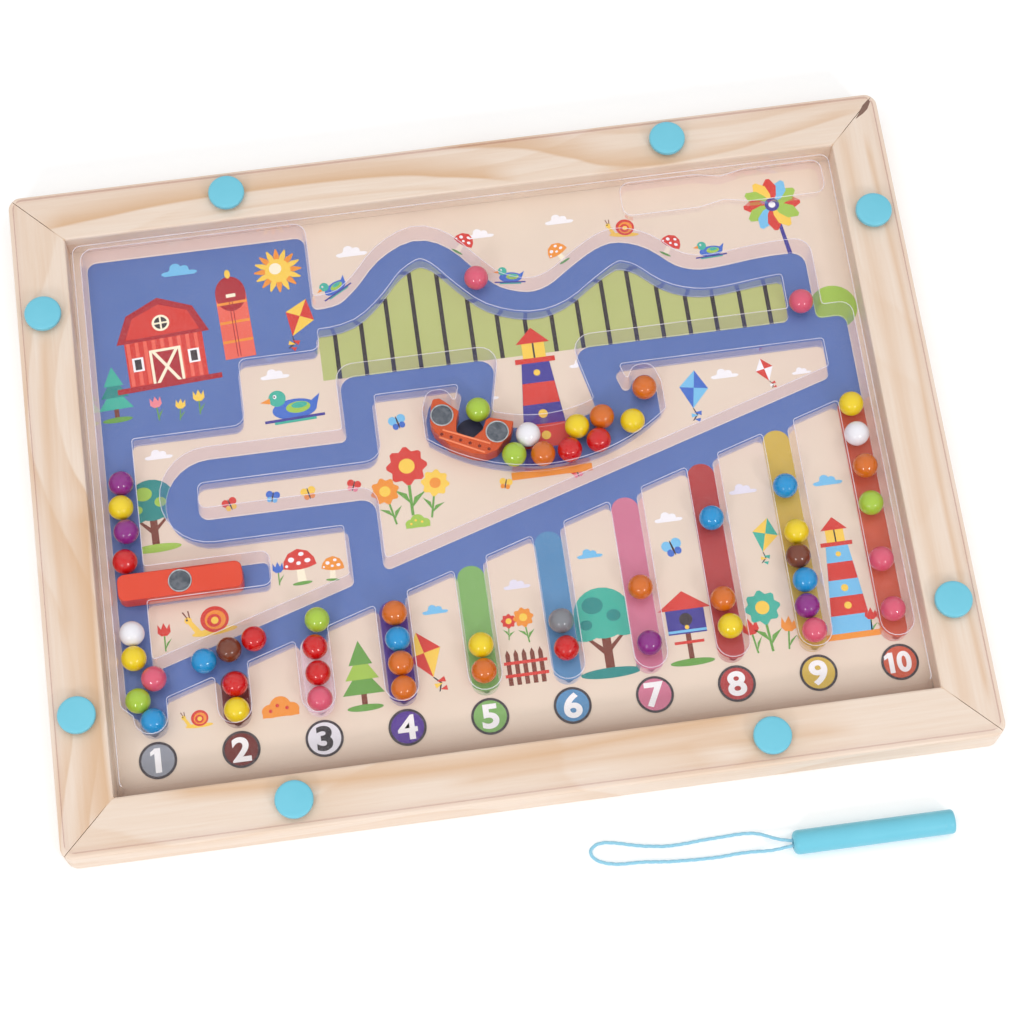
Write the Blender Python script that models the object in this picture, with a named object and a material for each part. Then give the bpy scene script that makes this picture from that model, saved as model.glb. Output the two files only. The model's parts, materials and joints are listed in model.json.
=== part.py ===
# Magnetic maze board: framed board, clear moulded tray, loose beads, gate, swinging boat and wand.
# Origin is the middle of the back face, X runs along the long side, Z points out of the front.
import bpy
import bmesh
import math
from mathutils import Vector, Matrix

for old in list(bpy.data.objects):
    bpy.data.objects.remove(old, do_unlink=True)

# Driving dimensions in metres
board_length = 0.3700
board_width = 0.2850
frame_height = 0.0170
rail_width = 0.0223
outer_corner_radius = 0.0050
rail_round = 0.0009
rabbet_width = 0.0040
rabbet_height = 0.0037
fit_gap = 0.0003
backing_thickness = 0.0027
card_bottom = 0.0030
card_top = 0.0034

sheet = 0.0006
floor_top = 0.0043
island_top = 0.0152
wall_draft = 0.0012
pan_half_length = 0.1602
pan_half_width = 0.1174
foot_half_length = 0.1622
foot_half_width = 0.1196
pan_corner = 0.0034
arc_steps = 5

cover_inset = 0.0020
cover_bottom = 0.0173
cover_top = 0.0188
cover_corner = 0.0040
rivet_x_long = 0.0935
rivet_y_long = 0.13135
rivet_x_short = 0.17385
rivet_y_short = 0.0864
rivet_head_radius = 0.00755
rivet_head_bottom = 0.0191
rivet_head_top = 0.0217
rivet_shank_radius = 0.0025
rivet_hole_radius = 0.0028
rivet_tip = 0.0062
rivet_hole_bottom = 0.0056

# Channel edges, measured from the middle of the board
field_left = -0.1560
field_top = 0.1142
field_right = -0.0640
field_bottom = 0.0293
shelf_left = -0.0977
shelf_edge = 0.0583
lane_right = -0.1442
lane_step_top = -0.0835
lane_step_bottom = -0.0880
first_slot = -0.1457
slot_pitch = 0.0330
slot_width = 0.0110
slot_end = -0.0952
slot_count = 10
slot_round = 0.00539
far_lane_left = 0.1458
far_lane_right = 0.1568
upper_lane_low = 0.0352
upper_lane_high = 0.0479
upper_left_start = -0.0565
upper_left_end = 0.0090
upper_right_start = 0.0410
link_left = 0.1328
link_right = 0.1445
link_top = 0.0790
link_south = 0.0663
first_drop_left = -0.0565
first_drop_right = -0.0443
turn_centre = -0.1135
turn_radius = 0.0194
turn_tongue = -0.1197
tongue_top = 0.0065
tongue_bottom = -0.0068
second_drop_left = -0.0607
second_drop_right = -0.0480
north_line_start = -0.0239
south_line_start = -0.0379
north_slope_share = 0.3070
south_slope_share = 0.3125
inner_block_right = 0.1448
gate_slot_end = -0.0940
gate_slot_top = -0.0282
gate_slot_bottom = -0.0404
track_half_width = 0.0064
small_round = 0.0025
mid_round = 0.0040
lane_round = 0.0060

# Boat channel, an arched slot about one centre
arch_x = 0.0250
arch_y = 0.0720
arch_outer = 0.0764
arch_inner = 0.0570
arch_inner_angle = 19.4
mouth_half_top = 0.0315
mouth_half_low = 0.0224
mouth_low = 0.0192
tip_half = 0.0355
tip_low = 0.0230
tip_round = 0.0020
crown_half_in = 0.0395
crown_half_out = 0.0458
crown_top = 0.0314
crown_round = 0.0033
end_half = 0.0482
end_shoulder = 0.0240

# Wand pocket
pocket_left = 0.0718
pocket_right = 0.1553
pocket_low = 0.1013
pocket_high = 0.1142
pocket_floor = 0.0095
pocket_waist = 0.0022
pocket_waist_half = 0.0110
pocket_round = 0.0030
window_left = 0.0703
window_right = 0.1568
window_low = 0.0992
window_high = 0.1176
window_round = 0.0030

bead_diameter = 0.0102
bead_gap = 0.0003
bead_neck_share = 0.22
bead_sides = 12

gate_left = -0.1545
gate_right = -0.1044
gate_middle = -0.0343
gate_width = 0.0112
gate_bottom = 0.0046
gate_top = 0.0130
gate_round = 0.0030
gate_disc_x = -0.1294
disc_radius = 0.0043
disc_recess = 0.0010
disc_bottom = 0.0123
disc_top = 0.0132
boat_bottom = 0.0046
boat_top = 0.0128
boat_disc_bottom = 0.0121
boat_disc_top = 0.0130

wand_left = 0.0961
wand_right = 0.1598
wand_y = -0.1712
wand_radius = 0.0048
wand_cord_end_round = 0.0022
wand_tip_round = 0.0012
wand_bore = 0.0033
wand_bore_depth = 0.0130
wand_cap_gap = 0.0003
wand_cap_length = 0.0050
wand_spigot_radius = 0.0029
wand_spigot_length = 0.0030
magnet_radius = 0.0029
magnet_length = 0.0080
cord_hole_radius = 0.0021
cord_hole_depth = 0.0060
cord_radius = 0.00070
table_lift = 0.0001

# Middle line of the wavy track as shares of the inner half length and half width of the frame
inner_half_length = board_length / 2 - rail_width
inner_half_width = board_width / 2 - rail_width
track_shares = [
    (-0.3811, 0.6123), (-0.3073, 0.6298), (-0.2459, 0.6947), (-0.1844, 0.7837), (-0.1106, 0.8319),
    (-0.0492, 0.7987), (0.0123, 0.7030), (0.0738, 0.6223), (0.1598, 0.5824), (0.2336, 0.6015),
    (0.3073, 0.6672), (0.3688, 0.7171), (0.4118, 0.7280), (0.4671, 0.6972), (0.5286, 0.6240),
    (0.5900, 0.5899), (0.6515, 0.5857), (0.7499, 0.5990), (0.8052, 0.6040),
]
# Outline of the boat: share of the outer radius of its channel, and angle from the near side
boat_shares = [
    (0.827, -13.4, 0.10), (0.930, -17.3, 0.25), (0.968, -20.6, 0.35), (0.981, -25.0, 0.6),
    (0.983, -32.0, 0.6), (0.948, -39.0, 0.6), (0.915, -42.0, 0.5), (0.845, -45.0, 0.4),
    (0.803, -46.4, 0.22), (0.777, -44.7, 0.22), (0.775, -41.6, 0.3), (0.783, -35.2, 0.08),
    (0.835, -34.3, 0.3), (0.897, -32.4, 0.3), (0.897, -26.2, 0.3), (0.835, -23.9, 0.2),
    (0.778, -23.9, 0.10), (0.757, -22.6, 0.10), (0.757, -12.9, 0.10),
]
boat_corner_unit = 0.0100
boat_disc_shares = [(0.8494, -39.83), (0.8292, -18.52)]


def material(name, colour, rough, metal=0.0, alpha=1.0):
    made = bpy.data.materials.new(name)
    made.use_nodes = True
    shader = made.node_tree.nodes["Principled BSDF"]
    shader.inputs["Base Color"].default_value = (*colour, 1.0)
    shader.inputs["Roughness"].default_value = rough
    shader.inputs["Metallic"].default_value = metal
    shader.inputs["Alpha"].default_value = alpha
    return made


def finish(name, bm, mat, smooth=False):
    bmesh.ops.recalc_face_normals(bm, faces=bm.faces[:])
    mesh = bpy.data.meshes.new(name)
    bm.to_mesh(mesh)
    bm.free()
    if smooth:
        mesh.polygons.foreach_set("use_smooth", [True] * len(mesh.polygons))
    made = bpy.data.objects.new(name, mesh)
    made.data.materials.append(mat)
    bpy.context.scene.collection.objects.link(made)
    return made


def rounded(corners, steps=arc_steps):
    points = []
    count = len(corners)
    for index, (x, y, radius) in enumerate(corners):
        here = Vector((x, y))
        if radius == 0:
            points.append(here)
            continue
        back = (Vector(corners[index - 1][:2]) - here).normalized()
        ahead = (Vector(corners[(index + 1) % count][:2]) - here).normalized()
        half = back.angle(ahead) / 2
        start = here + back * (radius / math.tan(half))
        middle = here + (back + ahead).normalized() * (radius / math.sin(half))
        end = here + ahead * (radius / math.tan(half))
        first = math.atan2(start.y - middle.y, start.x - middle.x)
        turn = math.atan2(end.y - middle.y, end.x - middle.x) - first
        turn = (turn + math.pi) % (2 * math.pi) - math.pi
        for step in range(steps + 1):
            angle = first + turn * step / steps
            points.append(middle + radius * Vector((math.cos(angle), math.sin(angle))))
    return anticlockwise(points)


def anticlockwise(points):
    area = sum(points[i - 1].x * points[i].y - points[i].x * points[i - 1].y for i in range(len(points)))
    return points if area > 0 else points[::-1]


def grown(points, shift):
    made = []
    count = len(points)
    for index, here in enumerate(points):
        before = (here - points[index - 1]).normalized()
        after = (points[(index + 1) % count] - here).normalized()
        normal = Vector((before.y + after.y, -before.x - after.x)).normalized()
        lean = max(0.5, normal.dot(Vector((before.y, -before.x))))
        made.append(here + normal * (shift / lean))
    return made


def ring(bm, points, height):
    return [bm.verts.new((point.x, point.y, height)) for point in points]


def wall(bm, low, high):
    count = len(low)
    for index in range(count):
        ahead = (index + 1) % count
        bm.faces.new((low[index], low[ahead], high[ahead]))
        bm.faces.new((low[index], high[ahead], high[index]))


def fill(bm, rings):
    edges = []
    for one in rings:
        for index in range(len(one)):
            pair = (one[index - 1], one[index])
            edges.append(bm.edges.get(pair) or bm.edges.new(pair))
    bmesh.ops.triangle_fill(bm, use_beauty=True, use_dissolve=False, edges=edges, normal=Vector((0, 0, 1)))


def plate(name, outer, holes, bottom, top, mat):
    bm = bmesh.new()
    low = [ring(bm, points, bottom) for points in [outer] + holes]
    high = [ring(bm, points, top) for points in [outer] + holes]
    fill(bm, low)
    fill(bm, high)
    for one, other in zip(low, high):
        wall(bm, one, other)
    return finish(name, bm, mat)


def circle(x, y, radius, sides=24):
    turns = [2 * math.pi * step / sides for step in range(sides)]
    return [Vector((x + radius * math.cos(a), y + radius * math.sin(a))) for a in turns]


def box_outline(left, right, low, high, radius):
    return rounded([(right, low, radius), (right, high, radius), (left, high, radius), (left, low, radius)])


def turned(name, profile, mat, sides, place, axis):
    bm = bmesh.new()
    spin = Vector((0, 0, 1)).rotation_difference(axis).to_matrix().to_4x4()
    move = Matrix.Translation(place) @ spin
    rows = []
    for along, radius in profile:
        if radius == 0:
            rows.append([bm.verts.new(move @ Vector((0, 0, along)))])
        else:
            rows.append([bm.verts.new(move @ Vector((p.x, p.y, along))) for p in circle(0, 0, radius, sides)])
    for low, high in zip(rows, rows[1:]):
        for index in range(sides):
            ahead = (index + 1) % sides
            corners = [low[index % len(low)], low[ahead % len(low)], high[ahead % len(high)], high[index % len(high)]]
            unique = list(dict.fromkeys(corners))
            if len(unique) > 2:
                bm.faces.new(unique)
    return finish(name, bm, mat, smooth=True)


def on_arch(share_or_radius, angle):
    turn = math.radians(angle)
    return (arch_x + share_or_radius * math.sin(turn), arch_y - share_or_radius * math.cos(turn))


def arch_run(radius, start, end, steps):
    return [(*on_arch(radius, start + (end - start) * i / steps), 0) for i in range(steps + 1)]


def track_line(samples=3):
    knots = [(x * inner_half_length, y * inner_half_width) for x, y in track_shares]
    points = []
    for index in range(len(knots) - 1):
        quad = [Vector(knots[max(0, min(len(knots) - 1, index + k))]) for k in (-1, 0, 1, 2)]
        for step in range(samples):
            t = step / samples
            points.append(0.5 * (2 * quad[1] + (quad[2] - quad[0]) * t
                                 + (2 * quad[0] - 5 * quad[1] + 4 * quad[2] - quad[3]) * t * t
                                 + (3 * quad[1] - quad[0] - 3 * quad[2] + quad[3]) * t * t * t))
    points.append(Vector(knots[-1]))
    return points


def track_edge(shift):
    line = track_line()
    made = []
    for index, here in enumerate(line):
        along = (line[min(index + 1, len(line) - 1)] - line[max(index - 1, 0)]).normalized()
        made.append((here.x - along.y * shift, here.y + along.x * shift, 0))
    return made[1:]


def north_line(x):
    return north_line_start + north_slope_share * x


def south_line(x):
    return south_line_start + south_slope_share * x


def slot_middle(number):
    return first_slot + slot_pitch * (number - 1)


def outer_network():
    corners = [(field_left, field_top, mid_round), (field_right, field_top, mid_round)]
    corners += [(field_right, track_edge(track_half_width)[0][1], small_round)]
    corners += track_edge(track_half_width)
    corners += [(link_right, link_top, lane_round), (link_right, upper_lane_high, small_round)]
    corners += [(far_lane_right, upper_lane_high, mid_round), (far_lane_right, slot_end, slot_round)]
    for number in range(slot_count, 1, -1):
        left, right = slot_middle(number) - slot_width / 2, slot_middle(number) + slot_width / 2
        if number < slot_count:
            corners += [(right, south_line(right), small_round), (right, slot_end, slot_round)]
        corners += [(left, slot_end, slot_round), (left, south_line(left), small_round)]
    left, right = first_slot - slot_width / 2, first_slot + slot_width / 2
    corners += [(right, south_line(right), small_round), (right, slot_end, slot_round)]
    corners += [(left, slot_end, slot_round), (left, lane_step_bottom, small_round)]
    corners += [(field_left, lane_step_top, small_round)]
    return rounded(corners)


def upper_island():
    south = [place for place in track_edge(-track_half_width) if place[0] < link_left - small_round]
    corners = [(shelf_left, shelf_edge, mid_round), (field_right, shelf_edge, small_round)]
    corners += [(field_right, south[0][1], small_round)] + south
    corners += [(link_left, link_south, small_round), (link_left, upper_lane_high, small_round)]
    corners += [(upper_right_start, upper_lane_high, lane_round)]
    corners += [(arch_x + mouth_half_low, mouth_low, small_round)]
    corners += arch_run(arch_inner, arch_inner_angle, -arch_inner_angle, 12)
    corners += [(arch_x - mouth_half_low, mouth_low, small_round)]
    corners += [(upper_left_end, upper_lane_high, lane_round)]
    corners += [(upper_left_start, upper_lane_high, lane_round)]
    corners += [(first_drop_left, turn_radius, small_round)]
    for step in range(15):
        turn = math.pi * step / 14
        corners += [(turn_centre - turn_radius * math.sin(turn), turn_radius * math.cos(turn), 0)]
    corners += [(second_drop_left, -turn_radius, small_round)]
    corners += [(second_drop_left, north_line(second_drop_left), small_round)]
    corners += [(lane_right, north_line(lane_right), small_round)]
    corners += [(lane_right, gate_slot_bottom, small_round), (gate_slot_end, gate_slot_bottom, small_round)]
    corners += [(gate_slot_end, gate_slot_top, small_round), (lane_right, gate_slot_top, small_round)]
    corners += [(lane_right, field_bottom, small_round), (shelf_left, field_bottom, mid_round)]
    return rounded(corners)


def lower_island():
    reach = math.degrees(math.asin(end_half / arch_outer))
    corners = [(turn_tongue, tongue_top, mid_round), (first_drop_right, tongue_top, lane_round)]
    corners += [(first_drop_right, upper_lane_low, small_round)]
    corners += [(arch_x - mouth_half_top, upper_lane_low, small_round)]
    corners += [(arch_x - tip_half, tip_low, tip_round), (arch_x - crown_half_in, crown_top, crown_round)]
    corners += [(arch_x - crown_half_out, crown_top, crown_round)]
    corners += [(arch_x - end_half, end_shoulder, lane_round)]
    corners += arch_run(arch_outer, -reach, reach, 22)
    corners += [(arch_x + end_half, end_shoulder, lane_round)]
    corners += [(arch_x + crown_half_out, crown_top, crown_round)]
    corners += [(arch_x + crown_half_in, crown_top, crown_round), (arch_x + tip_half, tip_low, tip_round)]
    corners += [(arch_x + mouth_half_top, upper_lane_low, small_round)]
    corners += [(inner_block_right, upper_lane_low, small_round)]
    corners += [(inner_block_right, north_line(inner_block_right), small_round)]
    corners += [(second_drop_right, north_line(second_drop_right), small_round)]
    corners += [(second_drop_right, tongue_bottom, lane_round), (turn_tongue, tongue_bottom, mid_round)]
    return rounded(corners)


def pocket_outline():
    middle = (pocket_left + pocket_right) / 2
    corners = [(pocket_left, pocket_low, pocket_round), (middle - pocket_waist_half, pocket_low, mid_round)]
    corners += [(middle, pocket_low + pocket_waist, mid_round), (middle + pocket_waist_half, pocket_low, mid_round)]
    corners += [(pocket_right, pocket_low, pocket_round), (pocket_right, pocket_high, pocket_round)]
    corners += [(middle + pocket_waist_half, pocket_high, mid_round), (middle, pocket_high - pocket_waist, mid_round)]
    corners += [(middle - pocket_waist_half, pocket_high, mid_round), (pocket_left, pocket_high, pocket_round)]
    return rounded(corners)


def tray_surface(bm, outlines, drop, side_shift):
    network, upper, lower, pocket = outlines
    rims, floors = [], []
    for points, sign, level in ((network, 1, floor_top), (upper, -1, floor_top), (lower, -1, floor_top),
                                (pocket, 1, pocket_floor)):
        rims.append(ring(bm, grown(points, sign * (wall_draft + side_shift)), island_top - drop))
        floors.append(ring(bm, grown(points, sign * side_shift), level - drop))
        wall(bm, floors[-1], rims[-1])
    top = box_outline(-pan_half_length, pan_half_length, -pan_half_width, pan_half_width, pan_corner)
    foot = box_outline(-foot_half_length, foot_half_length, -foot_half_width, foot_half_width, pan_corner)
    edge = ring(bm, grown(top, -side_shift), island_top - drop)
    base = ring(bm, grown(foot, -side_shift), floor_top - sheet)
    wall(bm, base, edge)
    fill(bm, [edge, rims[0], rims[3]])
    fill(bm, [rims[1]])
    fill(bm, [rims[2]])
    fill(bm, floors[:3])
    fill(bm, [floors[3]])
    return base


def maze_tray(mat):
    bm = bmesh.new()
    outlines = (outer_network(), upper_island(), lower_island(), pocket_outline())
    outside = tray_surface(bm, outlines, 0, 0)
    inside = tray_surface(bm, outlines, sheet, sheet)
    wall(bm, inside, outside)
    return finish("maze_tray", bm, mat)


def rail_outline(inset, half_long, half_short):
    slack = fit_gap / 2 * math.sqrt(2)
    inner_long, inner_short = half_long - rail_width + inset, half_short - rail_width + inset
    radius = outer_corner_radius - inset
    mid_x, mid_y = half_long - outer_corner_radius, half_short - outer_corner_radius
    points = [Vector((-inner_long + slack, -inner_short))]
    for step in range(4):
        turn = math.radians(45 - 15 * step)
        ease = slack * (3 - step) / 3
        points.append(Vector((-mid_x - radius * math.sin(turn) + ease, -mid_y - radius * math.cos(turn))))
    points += [Vector((-place.x, place.y)) for place in points[::-1]]
    return anticlockwise(points)


def rail(name, mat, quarter, half_long, half_short):
    bm = bmesh.new()
    part_round = rail_round * (1 - math.sqrt(0.5))
    levels = [(0, rail_round), (part_round, part_round), (rail_round, 0)]
    levels += [(frame_height - height, inset) for height, inset in levels[::-1]]
    rings = [ring(bm, rail_outline(inset, half_long, half_short), height) for height, inset in levels]
    for low, high in zip(rings, rings[1:]):
        wall(bm, low, high)
    fill(bm, [rings[0]])
    fill(bm, [rings[-1]])
    bmesh.ops.rotate(bm, verts=bm.verts[:], matrix=Matrix.Rotation(quarter, 3, "Z"))
    return finish(name, bm, mat)


def cutter(name, bm):
    made = finish(name, bm, cutter_colour)
    made.hide_render = True
    made.display_type = "WIRE"
    return made


def frame_cutter():
    bm = bmesh.new()
    wide, deep = inner_half_length + rabbet_width, inner_half_width + rabbet_width
    outline = [Vector((-wide, -deep)), Vector((wide, -deep)), Vector((wide, deep)), Vector((-wide, deep))]
    low, high = ring(bm, outline, -rabbet_height), ring(bm, outline, rabbet_height)
    fill(bm, [low])
    fill(bm, [high])
    wall(bm, low, high)
    for x, y in rivet_places():
        low = ring(bm, circle(x, y, rivet_hole_radius, 16), rivet_hole_bottom)
        high = ring(bm, circle(x, y, rivet_hole_radius, 16), frame_height * 2)
        fill(bm, [low])
        fill(bm, [high])
        wall(bm, low, high)
    return cutter("frame_cutter", bm)


def rivet_places():
    places = [(x, y) for y in (rivet_y_long, -rivet_y_long) for x in (-rivet_x_long, rivet_x_long)]
    return places + [(x, y) for x in (-rivet_x_short, rivet_x_short) for y in (rivet_y_short, -rivet_y_short)]


def subtract(target, tool):
    change = target.modifiers.new("cut", "BOOLEAN")
    change.operation = "DIFFERENCE"
    change.solver = "EXACT"
    change.object = tool


def frame_rails(mat):
    tool = frame_cutter()
    half_long, half_short = board_length / 2, board_width / 2
    sides = (("frame_rail_front", 0, half_long, half_short), ("frame_rail_right", 90, half_short, half_long),
             ("frame_rail_back", 180, half_long, half_short), ("frame_rail_left", 270, half_short, half_long))
    for name, angle, along, across in sides:
        subtract(rail(name, mat, math.radians(angle), along, across), tool)


def rivets(mat):
    head, drop = rivet_head_radius, rivet_head_top - rivet_head_bottom
    profile = [(rivet_tip, 0), (rivet_tip, rivet_shank_radius * 0.7),
               (rivet_tip + rivet_shank_radius * 0.4, rivet_shank_radius),
               (rivet_head_bottom, rivet_shank_radius), (rivet_head_bottom, head * 0.97),
               (rivet_head_bottom + drop * 0.2, head), (rivet_head_bottom + drop * 0.5, head * 0.97),
               (rivet_head_bottom + drop * 0.8, head * 0.82), (rivet_head_bottom + drop * 0.95, head * 0.6),
               (rivet_head_top, head * 0.3), (rivet_head_top, 0)]
    first = turned("rivet_1", profile, mat, 24, Vector((0, 0, 0)), Vector((0, 0, 1)))
    for number, (x, y) in enumerate(rivet_places(), 1):
        one = first
        if number > 1:
            one = bpy.data.objects.new("rivet_%d" % number, first.data)
            bpy.context.scene.collection.objects.link(one)
        one.location = (x, y, 0)


def ball_profile(places):
    radius = bead_diameter / 2
    neck = radius * bead_neck_share
    open_angle = math.asin(bead_neck_share)
    profile = [(places[0] - radius, 0)]
    for index, middle in enumerate(places):
        start = open_angle if index else math.pi / 6
        end = math.pi - (open_angle if index < len(places) - 1 else math.pi / 6)
        for step in range(6):
            turn = start + (end - start) * step / 5
            profile.append((middle - radius * math.cos(turn), radius * math.sin(turn)))
    return profile + [(places[-1] + radius, 0)]


def bead_set(name, shares, mat):
    height = floor_top + bead_gap + bead_diameter / 2
    spots = [Vector((x * board_length / 2, y * board_width / 2, height)) for x, y in shares]
    axis = (spots[-1] - spots[0]).normalized() if len(spots) > 1 else Vector((0, 0, 1))
    along = [(spot - spots[0]).dot(axis) for spot in spots]
    return turned(name, ball_profile(along), mat, bead_sides, spots[0], axis)


# Bead places are shares of the half length and half width of the board
bead_sets = [
    ("lane_beads_top", "yellow", [(-0.8081, 0.0807), (-0.8130, 0.0077), (-0.8065, -0.0674)]),
    ("lane_bead_red", "red", [(-0.8151, -0.1558)]),
    ("lane_beads_middle", "white", [(-0.8146, -0.3705), (-0.8151, -0.4435)]),
    ("lane_bead_pink", "pink", [(-0.7768, -0.5095)]),
    ("lane_beads_low", "green", [(-0.8146, -0.5670), (-0.7859, -0.6302)]),
    ("diagonal_beads", "brown", [(-0.6670, -0.4765), (-0.6114, -0.4540), (-0.5557, -0.4316)]),
    ("slot2_beads", "red", [(-0.6059, -0.5551), (-0.6081, -0.6295)]),
    ("slot3_bead_green", "green", [(-0.4162, -0.4000)]),
    ("slot3_beads", "red", [(-0.4276, -0.4786), (-0.4276, -0.5551), (-0.4297, -0.6295)]),
    ("slot4_beads", "orange", [(-0.2492, -0.4098), (-0.2492, -0.4863), (-0.2492, -0.5579),
     (-0.2497, -0.6309)]),
    ("slot5_beads", "yellow", [(-0.0735, -0.5354), (-0.0746, -0.6112)]),
    ("slot6_beads", "red", [(0.1049, -0.4961), (0.1076, -0.5768)]),
    ("slot7_bead_orange", "orange", [(0.2859, -0.4281)]),
    ("slot7_bead_purple", "purple", [(0.2859, -0.5937)]),
    ("slot8_bead_blue", "blue", [(0.4643, -0.2512)]),
    ("slot8_beads", "orange", [(0.4589, -0.4940), (0.4643, -0.5754)]),
    ("slot9_bead_blue", "blue", [(0.6368, -0.1839)]),
    ("slot9_beads", "brown", [(0.6427, -0.3242), (0.6368, -0.3972), (0.6422, -0.4702),
     (0.6362, -0.5467), (0.6427, -0.6196)]),
    ("slot10_bead_yellow", "yellow", [(0.8151, 0.0393)]),
    ("slot10_bead_white", "white", [(0.8146, -0.0540)]),
    ("slot10_bead_orange", "orange", [(0.8195, -0.1544)]),
    ("slot10_bead_green", "green", [(0.8162, -0.2681)]),
    ("slot10_bead_pink_1", "pink", [(0.8146, -0.4379)]),
    ("slot10_bead_pink_2", "pink", [(0.8189, -0.5881)]),
    ("track_bead_pink", "pink", [(0.0303, 0.5825)]),
    ("link_bead_pink", "pink", [(0.7481, 0.3782)]),
    ("notch_bead", "green", [(-0.0083, 0.1680)]),
    ("boat_beads_1", "green", [(0.0571, 0.0160), (0.0941, 0.0713)]),
    ("boat_beads_2", "orange", [(0.1204, 0.0067), (0.1807, 0.0091)]),
    ("boat_beads_3", "yellow", [(0.2045, 0.0782), (0.2470, 0.0272)]),
    ("boat_bead_orange", "orange", [(0.2619, 0.0980)]),
    ("boat_bead_yellow", "yellow", [(0.3281, 0.0730)]),
    ("boat_bead_last", "orange", [(0.3662, 0.1710)]),
]


def gate(mat, steel):
    outline = box_outline(gate_left, gate_right, gate_middle - gate_width / 2, gate_middle + gate_width / 2, gate_round)
    bm = bmesh.new()
    recess = circle(gate_disc_x, gate_middle, disc_radius + fit_gap, 24)
    recessed_block(bm, outline, [recess], gate_bottom, gate_top, disc_recess)
    finish("gate_slider", bm, mat)
    plate("gate_disc", circle(gate_disc_x, gate_middle, disc_radius, 24), [], disc_bottom, disc_top, steel)


def recessed_block(bm, outline, recesses, bottom, top, depth):
    low, high = ring(bm, outline, bottom), ring(bm, outline, top)
    fill(bm, [low])
    wall(bm, low, high)
    mouths = [ring(bm, one, top) for one in recesses]
    fill(bm, [high] + mouths)
    for mouth, one in zip(mouths, recesses):
        base = ring(bm, one, top - depth)
        wall(bm, base, mouth)
        fill(bm, [base])


def boat(mat, steel):
    corners = []
    for share, angle, round_share in boat_shares:
        corners.append((*on_arch(share * arch_outer, angle), round_share * boat_corner_unit * 0.4))
    outline = rounded(corners, 2)
    places = [on_arch(share * arch_outer, angle) for share, angle in boat_disc_shares]
    bm = bmesh.new()
    recesses = [circle(x, y, disc_radius + fit_gap, 24) for x, y in places]
    recessed_block(bm, outline, recesses, boat_bottom, boat_top, disc_recess)
    finish("boat_hull", bm, mat)
    for number, (x, y) in enumerate(places, 1):
        plate("boat_disc_%d" % number, circle(x, y, disc_radius, 24), [], boat_disc_bottom, boat_disc_top, steel)


def soft_end(along, radius, edge_round, direction, steps=4):
    turns = [math.pi / 2 * step / steps for step in range(steps + 1)]
    return [(along + direction * edge_round * (1 - math.cos(t)), radius - edge_round * (1 - math.sin(t)))
            for t in turns]


def wand(mat, steel):
    centre = Vector((wand_left, wand_y, wand_radius + table_lift))
    length = wand_right - wand_left
    seam = length - wand_cap_length
    body = [(cord_hole_depth, 0), (cord_hole_depth, cord_hole_radius), (0, cord_hole_radius)]
    body += soft_end(0, wand_radius, wand_cord_end_round, 1, 5)
    body += [(seam, wand_radius), (seam, wand_bore), (seam - wand_bore_depth, wand_bore), (seam - wand_bore_depth, 0)]
    turned("wand_barrel", body, mat, 20, centre, Vector((1, 0, 0)))
    cap = [(seam - wand_spigot_length, 0), (seam - wand_spigot_length, wand_spigot_radius)]
    cap += [(seam + wand_cap_gap, wand_spigot_radius), (seam + wand_cap_gap, wand_radius)]
    cap += soft_end(length, wand_radius, wand_tip_round, -1)[::-1] + [(length, 0)]
    turned("wand_tip_cap", cap, mat, 20, centre, Vector((1, 0, 0)))
    end = seam - wand_spigot_length - fit_gap
    slug = [(end - magnet_length, 0), (end - magnet_length, magnet_radius), (end, magnet_radius), (end, 0)]
    turned("wand_magnet", slug, steel, 20, centre, Vector((1, 0, 0)))


# Route of the cord from the wand, out over the table and back
cord_route = [
    (0.1005, -0.1703, 0.0049), (0.0972, -0.1703, 0.0049), (0.0940, -0.1698, 0.0048), (0.0908, -0.1687, 0.0040),
    (0.0879, -0.1672, 0.0029), (0.0850, -0.1656, 0.0019), (0.0819, -0.1645, 0.0010), (0.0787, -0.1641, 0.0008),
    (0.0754, -0.1640, 0.0008), (0.0721, -0.1641, 0.0008), (0.0688, -0.1642, 0.0008), (0.0655, -0.1643, 0.0008),
    (0.0622, -0.1644, 0.0008), (0.0589, -0.1646, 0.0008), (0.0556, -0.1648, 0.0008), (0.0523, -0.1649, 0.0008),
    (0.0490, -0.1649, 0.0008), (0.0457, -0.1647, 0.0008), (0.0425, -0.1642, 0.0008), (0.0392, -0.1637, 0.0008),
    (0.0360, -0.1630, 0.0008), (0.0328, -0.1622, 0.0008), (0.0296, -0.1613, 0.0008), (0.0264, -0.1606, 0.0008),
    (0.0232, -0.1602, 0.0008), (0.0199, -0.1608, 0.0008), (0.0178, -0.1631, 0.0008), (0.0190, -0.1660, 0.0008),
    (0.0218, -0.1678, 0.0008), (0.0249, -0.1688, 0.0008), (0.0282, -0.1694, 0.0008), (0.0315, -0.1696, 0.0008),
    (0.0348, -0.1697, 0.0008), (0.0381, -0.1699, 0.0008), (0.0413, -0.1703, 0.0008), (0.0446, -0.1707, 0.0008),
    (0.0479, -0.1711, 0.0008), (0.0512, -0.1713, 0.0008), (0.0544, -0.1715, 0.0008), (0.0577, -0.1717, 0.0008),
    (0.0610, -0.1718, 0.0008), (0.0643, -0.1719, 0.0008), (0.0676, -0.1719, 0.0008), (0.0709, -0.1718, 0.0008),
    (0.0742, -0.1716, 0.0008), (0.0775, -0.1716, 0.0008), (0.0808, -0.1717, 0.0009), (0.0841, -0.1721, 0.0015),
    (0.0873, -0.1725, 0.0027), (0.0906, -0.1726, 0.0040), (0.0939, -0.1724, 0.0048), (0.0972, -0.1722, 0.0049),
    (0.1005, -0.1721, 0.0049),
]


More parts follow.
